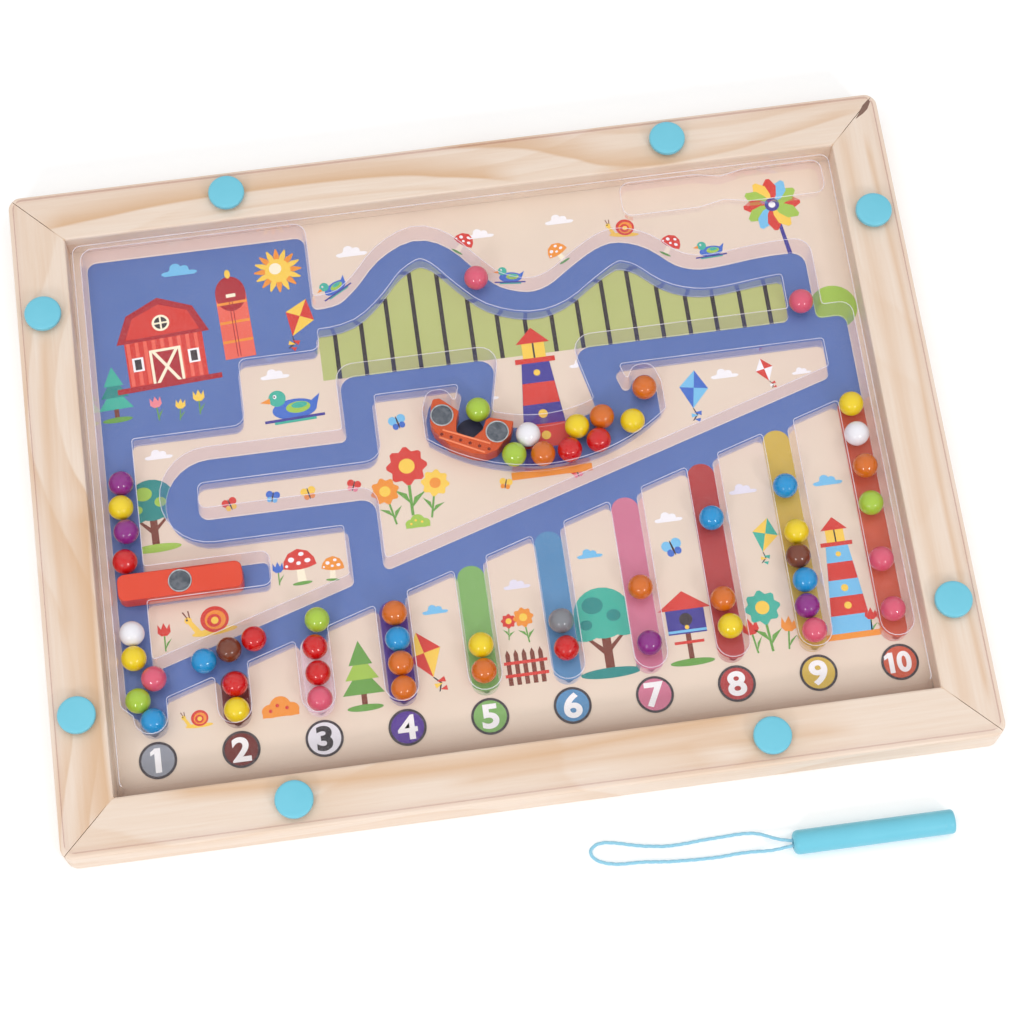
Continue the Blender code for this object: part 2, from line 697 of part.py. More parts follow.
def wand_cord(mat):
    curve = bpy.data.curves.new("wand_cord", "CURVE")
    curve.dimensions = "3D"
    curve.bevel_depth = cord_radius
    curve.bevel_resolution = 2
    curve.use_fill_caps = True
    line = curve.splines.new("POLY")
    line.points.add(len(cord_route) - 1)
    for point, place in zip(line.points, cord_route):
        point.co = (*place, 1)
    made = bpy.data.objects.new("wand_cord", curve)
    curve.materials.append(mat)
    bpy.context.scene.collection.objects.link(made)


wood = material("wood", (0.80, 0.63, 0.45), 0.5)
cutter_colour = material("cutter", (0.5, 0.5, 0.5), 0.8)
panel = material("panel", (0.62, 0.47, 0.32), 0.7)
card = material("card", (0.85, 0.72, 0.62), 0.6)
clear = material("clear", (0.92, 0.94, 0.97), 0.08, alpha=0.2)
cover_clear = material("cover_clear", (0.93, 0.96, 0.98), 0.05, alpha=0.12)
cyan = material("cyan", (0.10, 0.52, 0.72), 0.3)
blue = material("blue", (0.12, 0.24, 0.55), 0.35)
orange_plastic = material("orange_plastic", (0.75, 0.16, 0.03), 0.35)
steel = material("steel", (0.45, 0.50, 0.52), 0.35, 1.0)
cord_blue = material("cord_blue", (0.35, 0.62, 0.80), 0.8)
bead_paints = {
    "purple": material("purple", (0.16, 0.06, 0.36), 0.2), "yellow": material("yellow", (0.85, 0.62, 0.04), 0.2),
    "red": material("red", (0.70, 0.03, 0.02), 0.2), "white": material("white", (0.85, 0.85, 0.88), 0.2),
    "pink": material("pink", (0.85, 0.18, 0.28), 0.2), "green": material("green", (0.32, 0.58, 0.06), 0.2),
    "blue": material("bead_blue", (0.05, 0.18, 0.60), 0.2), "brown": material("brown", (0.14, 0.03, 0.02), 0.2),
    "orange": material("orange", (0.82, 0.22, 0.02), 0.2), "grey": material("grey", (0.30, 0.31, 0.35), 0.2),
}

frame_rails(wood)
backing_half_length = inner_half_length + rabbet_width - fit_gap
backing_half_width = inner_half_width + rabbet_width - fit_gap
plate("backing_board", box_outline(-backing_half_length, backing_half_length, -backing_half_width,
                                   backing_half_width, rail_round), [], 0, backing_thickness, panel)
plate("printed_card", box_outline(-backing_half_length, backing_half_length, -backing_half_width,
                                  backing_half_width, rail_round), [], card_bottom, card_top, card)
maze_tray(clear)
cover_half_length = board_length / 2 - cover_inset
cover_half_width = board_width / 2 - cover_inset
cover_holes = [circle(x, y, rivet_hole_radius, 16) for x, y in rivet_places()]
cover_holes.append(box_outline(window_left, window_right, window_low, window_high, window_round))
plate("clear_cover", box_outline(-cover_half_length, cover_half_length, -cover_half_width, cover_half_width,
                                 cover_corner), cover_holes, cover_bottom, cover_top, cover_clear)
rivets(cyan)
gate(orange_plastic, steel)
boat(orange_plastic, steel)
for bead_name, bead_paint, bead_spots in bead_sets:
    bead_set(bead_name, bead_spots, bead_paints[bead_paint])
wand(blue, steel)
wand_cord(cord_blue)
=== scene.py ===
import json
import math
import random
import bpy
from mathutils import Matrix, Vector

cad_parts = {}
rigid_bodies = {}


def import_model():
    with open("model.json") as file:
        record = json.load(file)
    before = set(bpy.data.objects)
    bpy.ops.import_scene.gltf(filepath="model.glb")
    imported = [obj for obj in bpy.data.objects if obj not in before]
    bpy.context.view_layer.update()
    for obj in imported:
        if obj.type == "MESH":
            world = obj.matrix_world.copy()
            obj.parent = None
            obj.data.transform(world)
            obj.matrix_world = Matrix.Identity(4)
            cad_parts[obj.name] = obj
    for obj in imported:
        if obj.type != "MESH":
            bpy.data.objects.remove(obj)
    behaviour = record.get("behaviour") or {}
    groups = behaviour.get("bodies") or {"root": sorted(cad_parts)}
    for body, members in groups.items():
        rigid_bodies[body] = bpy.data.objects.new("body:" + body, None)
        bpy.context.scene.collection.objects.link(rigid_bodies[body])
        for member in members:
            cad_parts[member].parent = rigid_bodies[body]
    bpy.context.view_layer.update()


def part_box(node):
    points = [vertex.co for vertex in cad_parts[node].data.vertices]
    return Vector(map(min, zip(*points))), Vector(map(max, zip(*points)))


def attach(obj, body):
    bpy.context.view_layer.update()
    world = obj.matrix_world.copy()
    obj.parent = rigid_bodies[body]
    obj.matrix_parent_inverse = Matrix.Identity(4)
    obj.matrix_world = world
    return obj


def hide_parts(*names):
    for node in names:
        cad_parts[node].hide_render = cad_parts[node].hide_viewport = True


bl_info = {
    "name": "Magnetic maze board",
    "version": (1, 0, 0),
    "blender": (4, 5, 0),
    "location": "View3D > Sidebar > Maze board",
    "description": "Dresses the framed maze board: wood, clear sheets, printed card, balls and wand",
    "category": "Object",
}

from functools import reduce

import bmesh
import bpy
from bpy.props import FloatProperty, FloatVectorProperty, IntProperty, PointerProperty
from mathutils import Matrix, Vector

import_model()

# Measures from the frame, then those that it doesn't hold
card_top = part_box("printed_card")[1].z
island_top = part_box("maze_tray")[1].z
board_low, board_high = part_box("clear_cover")
frame_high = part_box("frame_rail_back")[1]
opening_low = (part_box("frame_rail_left")[1].x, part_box("frame_rail_front")[1].y)
opening_high = (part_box("frame_rail_right")[0].x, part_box("frame_rail_back")[0].y)
cap_low, cap_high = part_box("rivet_1")
bead_low, bead_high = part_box("notch_bead")
ball_radius = (bead_high.z - bead_low.z) / 2
ball_height = (bead_high.z + bead_low.z) / 2
tray_floor = 0.0043
rail_width = 0.0223
ink_step = 0.00002


def tone(red, green, blue):
    """Linear colour from a screen colour of 0 to 255."""
    shares = (red / 255, green / 255, blue / 255)
    return tuple(((c + 0.055) / 1.055) ** 2.4 if c > 0.04045 else c / 12.92 for c in shares)


def colour_property(label, shade, what):
    return FloatVectorProperty(name=label, description=what, subtype="COLOR", size=3, min=0, max=1,
                               default=tone(*shade))


class BoardLook(bpy.types.PropertyGroup):
    wood_pale: colour_property("Pale wood", (232, 215, 200), "Colour of the wood between its darker bands")
    wood_tan: colour_property("Tan wood", (210, 172, 136), "Colour of the wood's darker bands")
    cap_blue: colour_property("Cap blue", (110, 192, 213), "Colour of the fixing caps and the wand")
    part_orange: colour_property("Part orange", (218, 70, 44), "Colour of the gate")
    clear_tint: colour_property("Clear tint", (254, 254, 254), "Light that the clear sheets let through")
    clear_edge: colour_property("Clear edge", (234, 222, 222), "Light that the cover's cut edge lets through")
    wall_tint: colour_property("Wall tint", (252, 249, 252), "Light that the tray's walls let through")
    # Painted highlight: colour of the pale line that stands for light caught on the rims' rounding.
    rim_light: colour_property("Rim light", (244, 240, 250), "Pale line along the tray's rounded rims")
    boat_orange: colour_property("Boat orange", (198, 78, 32), "Colour of the boat")
    mitre_line: colour_property("Mitre line", (216, 188, 162), "Glue line between two rails")
    cord_pale: colour_property("Cord", (144, 204, 228), "Colour of the wand's cord")
    rim_round: FloatProperty(name="Rim rounding", default=0.0008, min=0.0001, max=0.001, unit="LENGTH",
                             description="Rounding along the rims of the moulded tray")
    part_round: FloatProperty(name="Part rounding", default=0.0008, min=0.0001, max=0.002, unit="LENGTH",
                              description="Rounding along the edges of the gate and the boat")
    cap_sides: IntProperty(name="Cap sides", default=72, min=24, max=128, description="Sides of each cap")


class PrintLook(bpy.types.PropertyGroup):
    ground: colour_property("Ground", (232, 213, 196), "Bare ground of the printed card")
    channel: colour_property("Channel", (93, 117, 177), "Printed floor of the channels")
    front_shade: colour_property("Front shade", (158, 132, 120), "Shade over the card beside the front rail")
    grass: colour_property("Grass", (184, 190, 122), "Printed field under the wavy track")
    bar: colour_property("Bar", (52, 44, 46), "Printed posts in the green field")
    dark_ring: colour_property("Dark ring", (70, 62, 66), "Ring around each number")
    numeral: colour_property("Numeral", (248, 244, 246), "The numbers")


class BallLook(bpy.types.PropertyGroup):
    purple: colour_property("Purple", (134, 34, 128), "Purple balls")
    yellow: colour_property("Yellow", (232, 202, 16), "Yellow balls")
    red: colour_property("Red", (200, 12, 14), "Red balls")
    white: colour_property("White", (232, 230, 236), "White balls")
    pink: colour_property("Pink", (214, 86, 112), "Pink balls")
    green: colour_property("Green", (162, 194, 58), "Green balls")
    blue: colour_property("Blue", (14, 142, 204), "Blue balls")
    brown: colour_property("Brown", (112, 52, 28), "Brown balls")
    orange: colour_property("Orange", (208, 104, 18), "Orange balls")
    grey: colour_property("Grey", (124, 126, 132), "Grey balls")


# Small helpers that stand in for a modeller's hands
def only(obj):
    for other in bpy.context.view_layer.objects:
        other.select_set(other == obj)
    bpy.context.view_layer.objects.active = obj


def edit(obj, mode="FACE", action="SELECT"):
    only(obj)
    bpy.ops.object.mode_set(mode="EDIT")
    bpy.ops.mesh.select_mode(type=mode)
    bpy.ops.mesh.select_all(action=action)
    return bmesh.from_edit_mesh(obj.data)


def choose(obj, mode, wanted):
    """Goes into edit mode with only the wanted corners, edges or faces selected."""
    mesh = edit(obj, mode, "DESELECT")
    for part in {"VERT": mesh.verts, "EDGE": mesh.edges, "FACE": mesh.faces}[mode]:
        part.select = wanted(part)
    bmesh.update_edit_mesh(obj.data)


def leave():
    bpy.ops.object.mode_set(mode="OBJECT")


def settle(obj):
    only(obj)
    bpy.ops.object.transform_apply(location=True, rotation=True, scale=True)


def add_piece(name, mesh):
    made = bpy.data.objects.new(name, mesh)
    bpy.context.scene.collection.objects.link(made)
    return made


def from_lists(name, verts, edges=(), faces=()):
    mesh = bpy.data.meshes.new(name)
    mesh.from_pydata(verts, edges, faces)
    return add_piece(name, mesh)


def face_outwards(obj):
    edit(obj)
    bpy.ops.mesh.normals_make_consistent(inside=False)
    leave()


def split_flat(obj):
    edit(obj)
    bpy.ops.mesh.quads_convert_to_tris(quad_method="BEAUTY", ngon_method="BEAUTY")
    leave()


def copy_of(node_name, name, flatten=True):
    source = bpy.data.objects[node_name]
    mesh = source.data.copy()
    mesh.name = name
    mesh.materials.clear()
    made = add_piece(name, mesh)
    made.matrix_world = source.matrix_world
    edit(made, "VERT")
    bpy.ops.mesh.remove_doubles(threshold=0.000002)
    if flatten:
        bpy.ops.mesh.dissolve_limited(angle_limit=math.radians(0.8))
    leave()
    return made


def is_sharp(edge, limit):
    return len(edge.link_faces) == 2 and edge.calc_face_angle(0) > math.radians(limit)


def bevel_sharp(obj, width, segments, limit):
    choose(obj, "EDGE", lambda edge: is_sharp(edge, limit))
    bpy.ops.mesh.bevel(offset=width, segments=segments, profile=0.5, affect="EDGES", clamp_overlap=True)
    leave()


def smooth(obj, angle, even=False):
    only(obj)
    bpy.ops.object.shade_smooth_by_angle(angle=math.radians(angle))
    if even:
        bpy.ops.object.modifier_add(type="WEIGHTED_NORMAL")
        obj.modifiers[-1].weight = 100
        obj.modifiers[-1].keep_sharp = True
        bpy.ops.object.modifier_apply(modifier=obj.modifiers[-1].name)


def arc(x, y, across, up, start, end, steps):
    """Points along an ellipse, from one angle in degrees to another."""
    turns = [math.radians(start + (end - start) * step / steps) for step in range(steps + 1)]
    return [(x + across * math.cos(turn), y + up * math.sin(turn)) for turn in turns]


def turned(name, profile, steps, centre, axis="Z"):
    """Turned piece: a profile of radius and height, spun about its axis."""
    spots = [(radius, 0, along) for radius, along in profile]
    made = from_lists(name, spots, [(i, i + 1) for i in range(len(spots) - 1)])
    edit(made, "VERT")
    bpy.ops.mesh.spin(steps=steps, angle=2 * math.pi, center=(0, 0, 0), axis=(0, 0, 1))
    bpy.ops.mesh.select_all(action="SELECT")
    bpy.ops.mesh.remove_doubles(threshold=0.000004)
    bpy.ops.mesh.normals_make_consistent(inside=False)
    leave()
    turn = Matrix.Rotation(math.pi / 2, 4, "Y") if axis == "X" else Matrix.Identity(4)
    made.matrix_world = Matrix.Translation(centre) @ turn
    settle(made)
    return made


def dress(obj, material, body, nodes=()):
    obj.data.materials.clear()
    obj.data.materials.append(material)
    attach(obj, body)
    if nodes:
        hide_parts(*nodes)


def dress_node(name, material):
    """Finish for a CAD node that stays in view."""
    finishes = bpy.data.objects[name].data.materials
    finishes.clear()
    finishes.append(material)


# Shader helpers: a value may be a socket, a number or a colour
def wire(made, *places, **named):
    """Sets a node's properties and inputs; an input goes by its name, with _ for a space, or by its place."""
    for key, value in [*named.items(), *enumerate(places)]:
        label = key.replace("_", " ") if isinstance(key, str) else key
        if isinstance(key, str) and label not in made.inputs:
            setattr(made, key, value)
        elif isinstance(value, bpy.types.NodeSocket):
            made.id_data.links.new(value, made.inputs[label])
        elif value is not None:
            socket = made.inputs[label]
            socket.default_value = (*value[:3], 1) if socket.type == "RGBA" else value
    return made


def node(tree, kind, *places, **named):
    return wire(tree.nodes.new("ShaderNode" + kind), *places, **named)


def maths(operation, *values):
    tree = next(value.id_data for value in values if isinstance(value, bpy.types.NodeSocket))
    return node(tree, "Math", *values, operation=operation).outputs[0]


def plus(*values):
    return reduce(lambda total, value: maths("ADD", total, value), values)


def times(*values):
    return reduce(lambda total, value: maths("MULTIPLY", total, value), values)


def spread(source, low, high, to_low=0.0, to_high=1.0):
    return node(source.id_data, "MapRange", source, low, high, to_low, to_high).outputs[0]


def blend_colour(share, first, second, mode="MIX"):
    skipped = [None] * 5
    made = node(share.id_data, "Mix", share, *skipped, first, second, data_type="RGBA", blend_type=mode)
    return made.outputs[2]


def noise(source, scale, detail=3.0, rough=0.5):
    """Noise at one scale, or at a scale for each axis."""
    tree = source.id_data
    if isinstance(scale, tuple):
        source, scale = node(tree, "Mapping", Vector=source, Scale=scale).outputs[0], 1.0
    return node(tree, "TexNoise", Vector=source, Scale=scale, Detail=detail, Roughness=rough).outputs["Fac"]


def raised(height, distance):
    return node(height.id_data, "Bump", Strength=0.6, Distance=distance, Height=height).outputs["Normal"]


# Shader groups used by more than one finish
def group(name, **inputs):
    """Group that turns a place and the given inputs into a colour, a height and a roughness."""
    made = bpy.data.node_groups.new(name, "ShaderNodeTree")
    for label, value in {"Vector": None, **inputs}.items():
        kind = "Vector" if value is None else "Color" if isinstance(value, tuple) else "Float"
        socket = made.interface.new_socket(name=label, in_out="INPUT", socket_type="NodeSocket" + kind)
        if value is not None:
            socket.default_value = value
    for label, kind in (("Color", "Color"), ("Height", "Float"), ("Roughness", "Float")):
        made.interface.new_socket(name=label, in_out="OUTPUT", socket_type="NodeSocket" + kind)
    return made, made.nodes.new("NodeGroupInput").outputs, made.nodes.new("NodeGroupOutput")


def wood_group():
    """Grain that runs along X: broad tan bands that sweep and pinch, fine streaks and pores."""
    made, start, end = group("wood_grain", Pale=(0.8, 0.65, 0.5, 1), Tan=(0.7, 0.45, 0.25, 1), Seed=0.0,
                             Bands=0.5)
    shift = node(made, "CombineXYZ", X=start["Seed"], Z=start["Seed"])
    place = node(made, "VectorMath", start["Vector"], shift.outputs[0], operation="ADD").outputs[0]
    _, over, height = node(made, "SeparateXYZ", place).outputs
    sweep, wander = noise(place, (7, 14, 14), 0.0), noise(place, (26, 90, 90), 1.0)
    across = plus(times(sweep, 0.110), over, times(height, 0.55), times(wander, 0.0035))
    ring = maths("FRACT", times(across, 62.0))
    late = times(spread(ring, 0.25, 0.93), spread(ring, 0.93, 1.0, 1.0, 0.0))
    patch = spread(noise(place, (10, 30, 30), 2.0), 0.34, 0.60, 0.25, 1.0)
    streak = noise(place, (30, 900, 900), 3.0, 0.6)
    fleck = spread(noise(place, (160, 2600, 2600), 2.0), 0.62, 0.8)
    amount = plus(times(late, patch, start["Bands"]), times(streak, 0.50), -0.12, times(fleck, 0.10))
    wire(end, Color=blend_colour(spread(amount, 0.0, 1.0), start["Pale"], start["Tan"]),
         Height=plus(streak, times(fleck, -0.5)), Roughness=spread(streak, 0.3, 0.7, 0.42, 0.55))
    return made


def fine_group():
    """Very fine moulded or sprayed surface: a small change of gloss, tone and height."""
    made, start, end = group("fine_surface", Color=(0.5, 0.5, 0.5, 1), Scale=900.0, Gloss=0.25, Change=0.08)
    fine = noise(start["Vector"], start["Scale"])
    slow = noise(start["Vector"], 70.0, 2.0)
    darker = node(made, "HueSaturation", Value=0.90, Saturation=1.06, Color=start["Color"]).outputs[0]
    share = times(spread(slow, 0.35, 0.65), start["Change"], 6.0)
    swing = times(spread(fine, 0.3, 0.7, -1.0, 1.0), start["Change"])
    wire(end, Color=blend_colour(share, start["Color"], darker), Height=fine,
         Roughness=plus(start["Gloss"], swing))
    return made


shader_groups = {}


def shared(maker):
    if maker not in shader_groups:
        shader_groups[maker] = maker()
    return shader_groups[maker]


# Finishes
def blank(name):
    made = bpy.data.materials.new(name)
    made.use_nodes = True
    tree = made.node_tree
    return made, tree, tree.nodes["Principled BSDF"], node(tree, "TexCoord").outputs["Object"]


def swept_band(run, depth, route, soft, sharp, strength):
    """One tan growth band along a rail, soft on its outer side and crisp on its inner side.

    The crisp side runs along the route: shares of the board's length, and of the rail's width from outside.
    """
    curve = node(run.id_data, "FloatCurve", Value=run)
    points = curve.mapping.curves[0].points
    points[0].location, points[1].location = route[0], route[-1]
    for spot in route[1:-1]:
        points.new(*spot)
    curve.mapping.update()
    off = maths("SUBTRACT", depth, curve.outputs[0])
    first, last, fade = route[0][0], route[-1][0], 0.04
    return times(spread(off, -soft, 0.0), spread(off, 0.0, sharp, 1.0, 0.0),
                 spread(run, first, first + fade), spread(run, last - fade, last, 1.0, 0.0), strength)


def rail_places(place, along, side):
    """Share along the rail and share across it from the outside, from the place on the board."""
    half = [span / 2 + 0.002 for span in board_high - board_low]
    ahead, over = (0, 1) if along == "X" else (1, 0)
    spots = node(place.id_data, "SeparateXYZ", place).outputs
    run = spread(spots[ahead], -half[ahead], half[ahead])
    return run, spread(spots[over], side * half[over], side * (half[over] - rail_width))


def wood_finish(name, look, along, side, seed, bands, sweeps=()):
    made, tree, shader, place = blank(name)
    laid = place
    if along == "Y":
        laid = node(tree, "Mapping", Vector=place, Rotation=(0, 0, math.pi / 2)).outputs[0]
    grain = node(tree, "Group", node_tree=shared(wood_group), Vector=laid, Pale=look.wood_pale,
                 Tan=look.wood_tan, Seed=seed, Bands=bands).outputs
    colour = grain["Color"]
    spots = rail_places(place, along, side) if sweeps else ()
    for sweep in sweeps:
        colour = blend_colour(swept_band(*spots, *sweep), colour, look.wood_tan)
    wire(shader, Base_Color=colour, Roughness=grain["Roughness"], Normal=raised(grain["Height"], 0.00006))
    return made


def plastic_finish(name, colour, gloss, scale, change, depth=0.00001):
    made, tree, shader, place = blank(name)
    fine = node(tree, "Group", node_tree=shared(fine_group), Vector=place, Color=colour, Scale=scale,
                Gloss=gloss, Change=change).outputs
    wire(shader, Base_Color=fine["Color"], Roughness=fine["Roughness"], Normal=raised(fine["Height"], depth))
    return made


def paint_finish(name, colour):
    made = plastic_finish(name, colour, 0.16, 420.0, 0.03, 0.000012)
    shader = made.node_tree.nodes["Principled BSDF"]
    wire(shader, Specular_IOR_Level=0.3, Coat_Weight=0.7, Coat_Roughness=0.05)
    return made


def steel_finish(name, dark, pale):
    made, tree, shader, place = blank(name)
    lines = noise(place, (160, 1800, 400), 4.0, 0.6)
    shade = blend_colour(spread(noise(place, 500.0), 0.35, 0.65), dark, pale)
    wire(shader, Metallic=1.0, Base_Color=shade, Roughness=spread(lines, 0.3, 0.7, 0.42, 0.62),
         Normal=raised(lines, 0.00002))
    return made


def see_through(tree, shader, share, tint, backs):
    """Shows the shader by a share only. Shadow and diffuse rays pass in full, and at backs all rays do."""
    path = node(tree, "LightPath").outputs
    passing = maths("MAXIMUM", path["Is Shadow Ray"], path["Is Diffuse Ray"])
    if backs:
        passing = maths("MAXIMUM", passing, node(tree, "NewGeometry").outputs["Backfacing"])
    seen = times(share, maths("SUBTRACT", 1.0, passing))
    through = node(tree, "BsdfTransparent", Color=tint).outputs[0]
    wire(tree.nodes["Material Output"], node(tree, "MixShader", seen, through, shader.outputs[0]).outputs[0])


def clear_finish(name, tint, haze):
    """Thin clear plastic: sight goes straight through, and the surface mirrors more at a slant."""
    made, tree, shader, place = blank(name)
    wave = noise(place, 120.0, 2.0)
    wire(shader, Base_Color=(0.97, 0.97, 1.0), Metallic=1.0, Roughness=spread(wave, 0.3, 0.7, 0.05, 0.11),
         Normal=raised(wave, 0.00004))
    slant = node(tree, "LayerWeight", Blend=0.5).outputs["Facing"]
    see_through(tree, shader, plus(times(maths("POWER", slant, 4.0), 0.80), haze), tint, True)
    return made


def rim_finish(name, colour, haze):
    """Painted highlight: a pale, partly see-through line that stands for the light caught on the clear
    sheet's rounded rim.
    """
    made, tree, shader, place = blank(name)
    wire(shader, Base_Color=colour, Roughness=0.22)
    share = spread(noise(place, 90.0, 2.0), 0.3, 0.7, haze * 0.55, haze)
    see_through(tree, shader, share, (1, 1, 1), False)
    return made


def ink_finish(name):
    """Print on card: each shape carries its own colour, with the card's fine tooth under it."""
    made, tree, shader, place = blank(name)
    ink = node(tree, "Attribute", attribute_name="ink").outputs["Color"]
    tooth, cloud = noise(place, 1500.0, 2.0), noise(place, 60.0, 2.0)
    deeper = node(tree, "HueSaturation", Value=0.93, Saturation=1.04, Color=ink).outputs[0]
    shade = blend_colour(spread(cloud, 0.35, 0.7, 0.0, 0.5), ink, deeper)
    shade = blend_colour(spread(tooth, 0.45, 0.75, 0.0, 0.06), shade, (1.0, 1.0, 1.0))
    wire(shader, Base_Color=shade, Roughness=spread(tooth, 0.3, 0.7, 0.37, 0.49),
         Normal=raised(tooth, 0.000008))
    return made


def paper_finish(name, look):
    """Bare card, with painted shade along the front rail."""
    made = plastic_finish(name, look.ground, 0.5, 1500.0, 0.03)
    nodes = made.node_tree.nodes
    place = node(made.node_tree, "SeparateXYZ", nodes["Texture Coordinate"].outputs["Object"]).outputs[1]
    # Painted shade: the card darkens towards the front rail, where the rail would shade it.
    shaded = spread(place, opening_low[1], opening_low[1] + 0.014, 1.0, 0.0)
    shader = nodes["Principled BSDF"]
    plain = shader.inputs["Base Color"].links[0].from_socket
    wire(shader, Base_Color=blend_colour(maths("POWER", shaded, 1.3), plain, look.front_shade, "MULTIPLY"))
    return made


def cord_finish(name, colour):
    made, tree, shader, place = blank(name)
    fibre = noise(place, 2600.0, 3.0, 0.7)
    shade = blend_colour(spread(fibre, 0.3, 0.7), tuple(c * 0.82 for c in colour), colour)
    wire(shader, Base_Color=shade, Roughness=0.75, Sheen_Weight=0.3, Normal=raised(fibre, 0.00008))
    return made


# Each rail's way of grain, side, seed, strength of its fine bands, and broad bands as swept_band takes them
rails = {
    "frame_rail_back": ("X", 1, 0.31, 0.22, (
        (((0.02, 0.78), (0.10, 0.62), (0.23, 0.46), (0.40, 0.46), (0.50, 0.66), (0.58, 0.95)),
         0.42, 0.05, 0.95),
        (((0.48, 0.02), (0.56, 0.16), (0.64, 0.56), (0.70, 0.88), (0.78, 0.99)), 0.50, 0.06, 0.80),
        (((0.66, 0.98), (0.78, 0.90), (0.88, 0.66), (0.97, 0.36), (0.99, 0.30)), 0.22, 0.05, 0.60),
        (((0.66, 0.05), (0.72, 0.22), (0.80, 0.30), (0.90, 0.16), (0.96, 0.04)), 0.20, 0.05, 0.35),
        (((0.20, 0.86), (0.36, 0.78), (0.52, 0.99)), 0.10, 0.04, 0.35))),
    "frame_rail_front": ("X", -1, 1.84, 0.40, (
        (((0.10, 0.99), (0.26, 0.80), (0.45, 0.72), (0.62, 0.86), (0.74, 0.99)), 0.22, 0.30, 0.85),
        (((0.40, 0.40), (0.60, 0.52), (0.85, 0.44)), 0.14, 0.20, 0.50))),
    "frame_rail_left": ("Y", -1, 3.27, 0.60, (
        (((0.02, 0.92), (0.16, 0.88), (0.32, 0.90), (0.52, 0.97)), 0.60, 0.08, 0.90),
        (((0.30, 0.45), (0.55, 0.36), (0.80, 0.52)), 0.16, 0.20, 0.55))),
    "frame_rail_right": ("Y", 1, 4.66, 0.12, (
        (((0.04, 0.20), (0.35, 0.28), (0.62, 0.24), (0.94, 0.36)), 0.10, 0.08, 0.60),
        (((0.02, 0.62), (0.30, 0.70), (0.60, 0.66), (0.96, 0.80)), 0.20, 0.20, 0.40)))}
corners = ((-1, -1), (1, -1), (1, 1), (-1, 1))


class BOARD_OT_frame(bpy.types.Operator):
    """Gives the rails and the backing their wood"""
    bl_idname = "maze_board.frame"
    bl_label = "Wooden frame"

    def execute(self, context):
        look = context.scene.maze_board
        for name, rail in rails.items():
            dress_node(name, wood_finish(name + "_wood", look, *rail))
        dress_node("backing_board", wood_finish("backing_wood", look, "X", 0, 7.2, 0.4))
        glue = plastic_finish("mitre_glue", look.mitre_line, 0.6, 900.0, 0.05)
        for number, (side, end) in enumerate(corners, 1):
            dress(mitre_fill("mitre_line_%d" % number, side, end), glue, "board")
        mitre_scar(plastic_finish("mitre_bruise", tone(132, 104, 92), 0.7, 700.0, 0.15))
        return {"FINISHED"}


def mitre_scar(finish):
    """Dark bruise where the back right mitre was sanded."""
    outline = [(0.1748, 0.1312), (0.1768, 0.1340), (0.1788, 0.1372), (0.1818, 0.1398), (0.1824, 0.1386),
               (0.1806, 0.1352), (0.1782, 0.1332)]
    made = from_lists("mitre_scar", [(x, y, frame_high.z + 0.00002) for x, y in outline],
                      faces=[range(len(outline))[::-1]])
    split_flat(made)
    dress(made, finish, "board")


def mitre_fill(name, side, end):
    """Glue line that fills the joint between two rails, from the inner corner to the outer one."""
    corner_cut, half, bottom, top = 0.0016, 0.00030, 0.0040, frame_high.z - 0.00003
    start = Vector((side * opening_high[0], end * opening_high[1], 0))
    finish = Vector((side * (frame_high.x - corner_cut), end * (frame_high.y - corner_cut), 0))
    across = (finish - start).normalized().cross(Vector((0, 0, 1))) * half
    ring = [start + across, finish + across, finish - across, start - across]
    made = from_lists(name, [(spot.x, spot.y, height) for height in (bottom, top) for spot in ring], faces=[
        (0, 1, 2, 3), (4, 5, 6, 7), *((i, (i + 1) % 4, (i + 1) % 4 + 4, i + 4) for i in range(4))])
    face_outwards(made)
    return made


class BOARD_OT_cover(bpy.types.Operator):
    """Makes the flat clear cover with softened edges"""
    bl_idname = "maze_board.cover"
    bl_label = "Clear cover"

    def execute(self, context):
        look = context.scene.maze_board
        cover = copy_of("clear_cover", "cover_sheet", False)
        bevel_sharp(cover, 0.00025, 2, 60)
        smooth(cover, 60, True)
        clear = clear_finish("cover_clear", look.clear_tint, 0.004)
        dress(cover, clear, "board", ["clear_cover"])
        cover.data.materials.append(clear_finish("cover_edge", look.clear_edge, 0.06))
        outline_inset = 0.0006
        for face in cover.data.polygons:
            middle = face.center
            outside = max(abs(middle.x) - board_high.x, abs(middle.y) - board_high.y) > -outline_inset
            face.material_index = int(outside and abs(face.normal.z) < 0.99)
        return {"FINISHED"}


class BOARD_OT_tray(bpy.types.Operator):
    """Makes the moulded tray with rounded rims and floor corners, and painted highlight lines along its rims
    """
    bl_idname = "maze_board.tray"
    bl_label = "Moulded tray"

    def execute(self, context):
        look = context.scene.maze_board
        tray = copy_of("maze_tray", "moulded_tray", False)
        bevel_sharp(tray, look.rim_round, 3, 50)
        smooth(tray, 60, True)
        dress(tray, clear_finish("tray_clear", look.clear_tint, 0.006), "board", ["maze_tray"])
        tray.data.materials.append(clear_finish("tray_wall", look.wall_tint, 0.045))
        skirt = 0.0030
        for face in tray.data.polygons:
            inside = all(low + skirt < at < high - skirt
                         for at, low, high in zip(face.center, opening_low, opening_high))
            face.material_index = int(inside and abs(face.normal.z) < 0.5)
        # Painted highlights: pale tubes along the top rims and along the floor edges.
        for name, level, radius, haze in (("tray_rim_top", island_top, 0.00021, 0.40),
                                          ("tray_rim_foot", tray_floor, 0.00016, 0.26)):
            finish = rim_finish(name + "_light", look.rim_light, haze)
            dress(rim_line(name, level, radius), finish, "board")
        return {"FINISHED"}


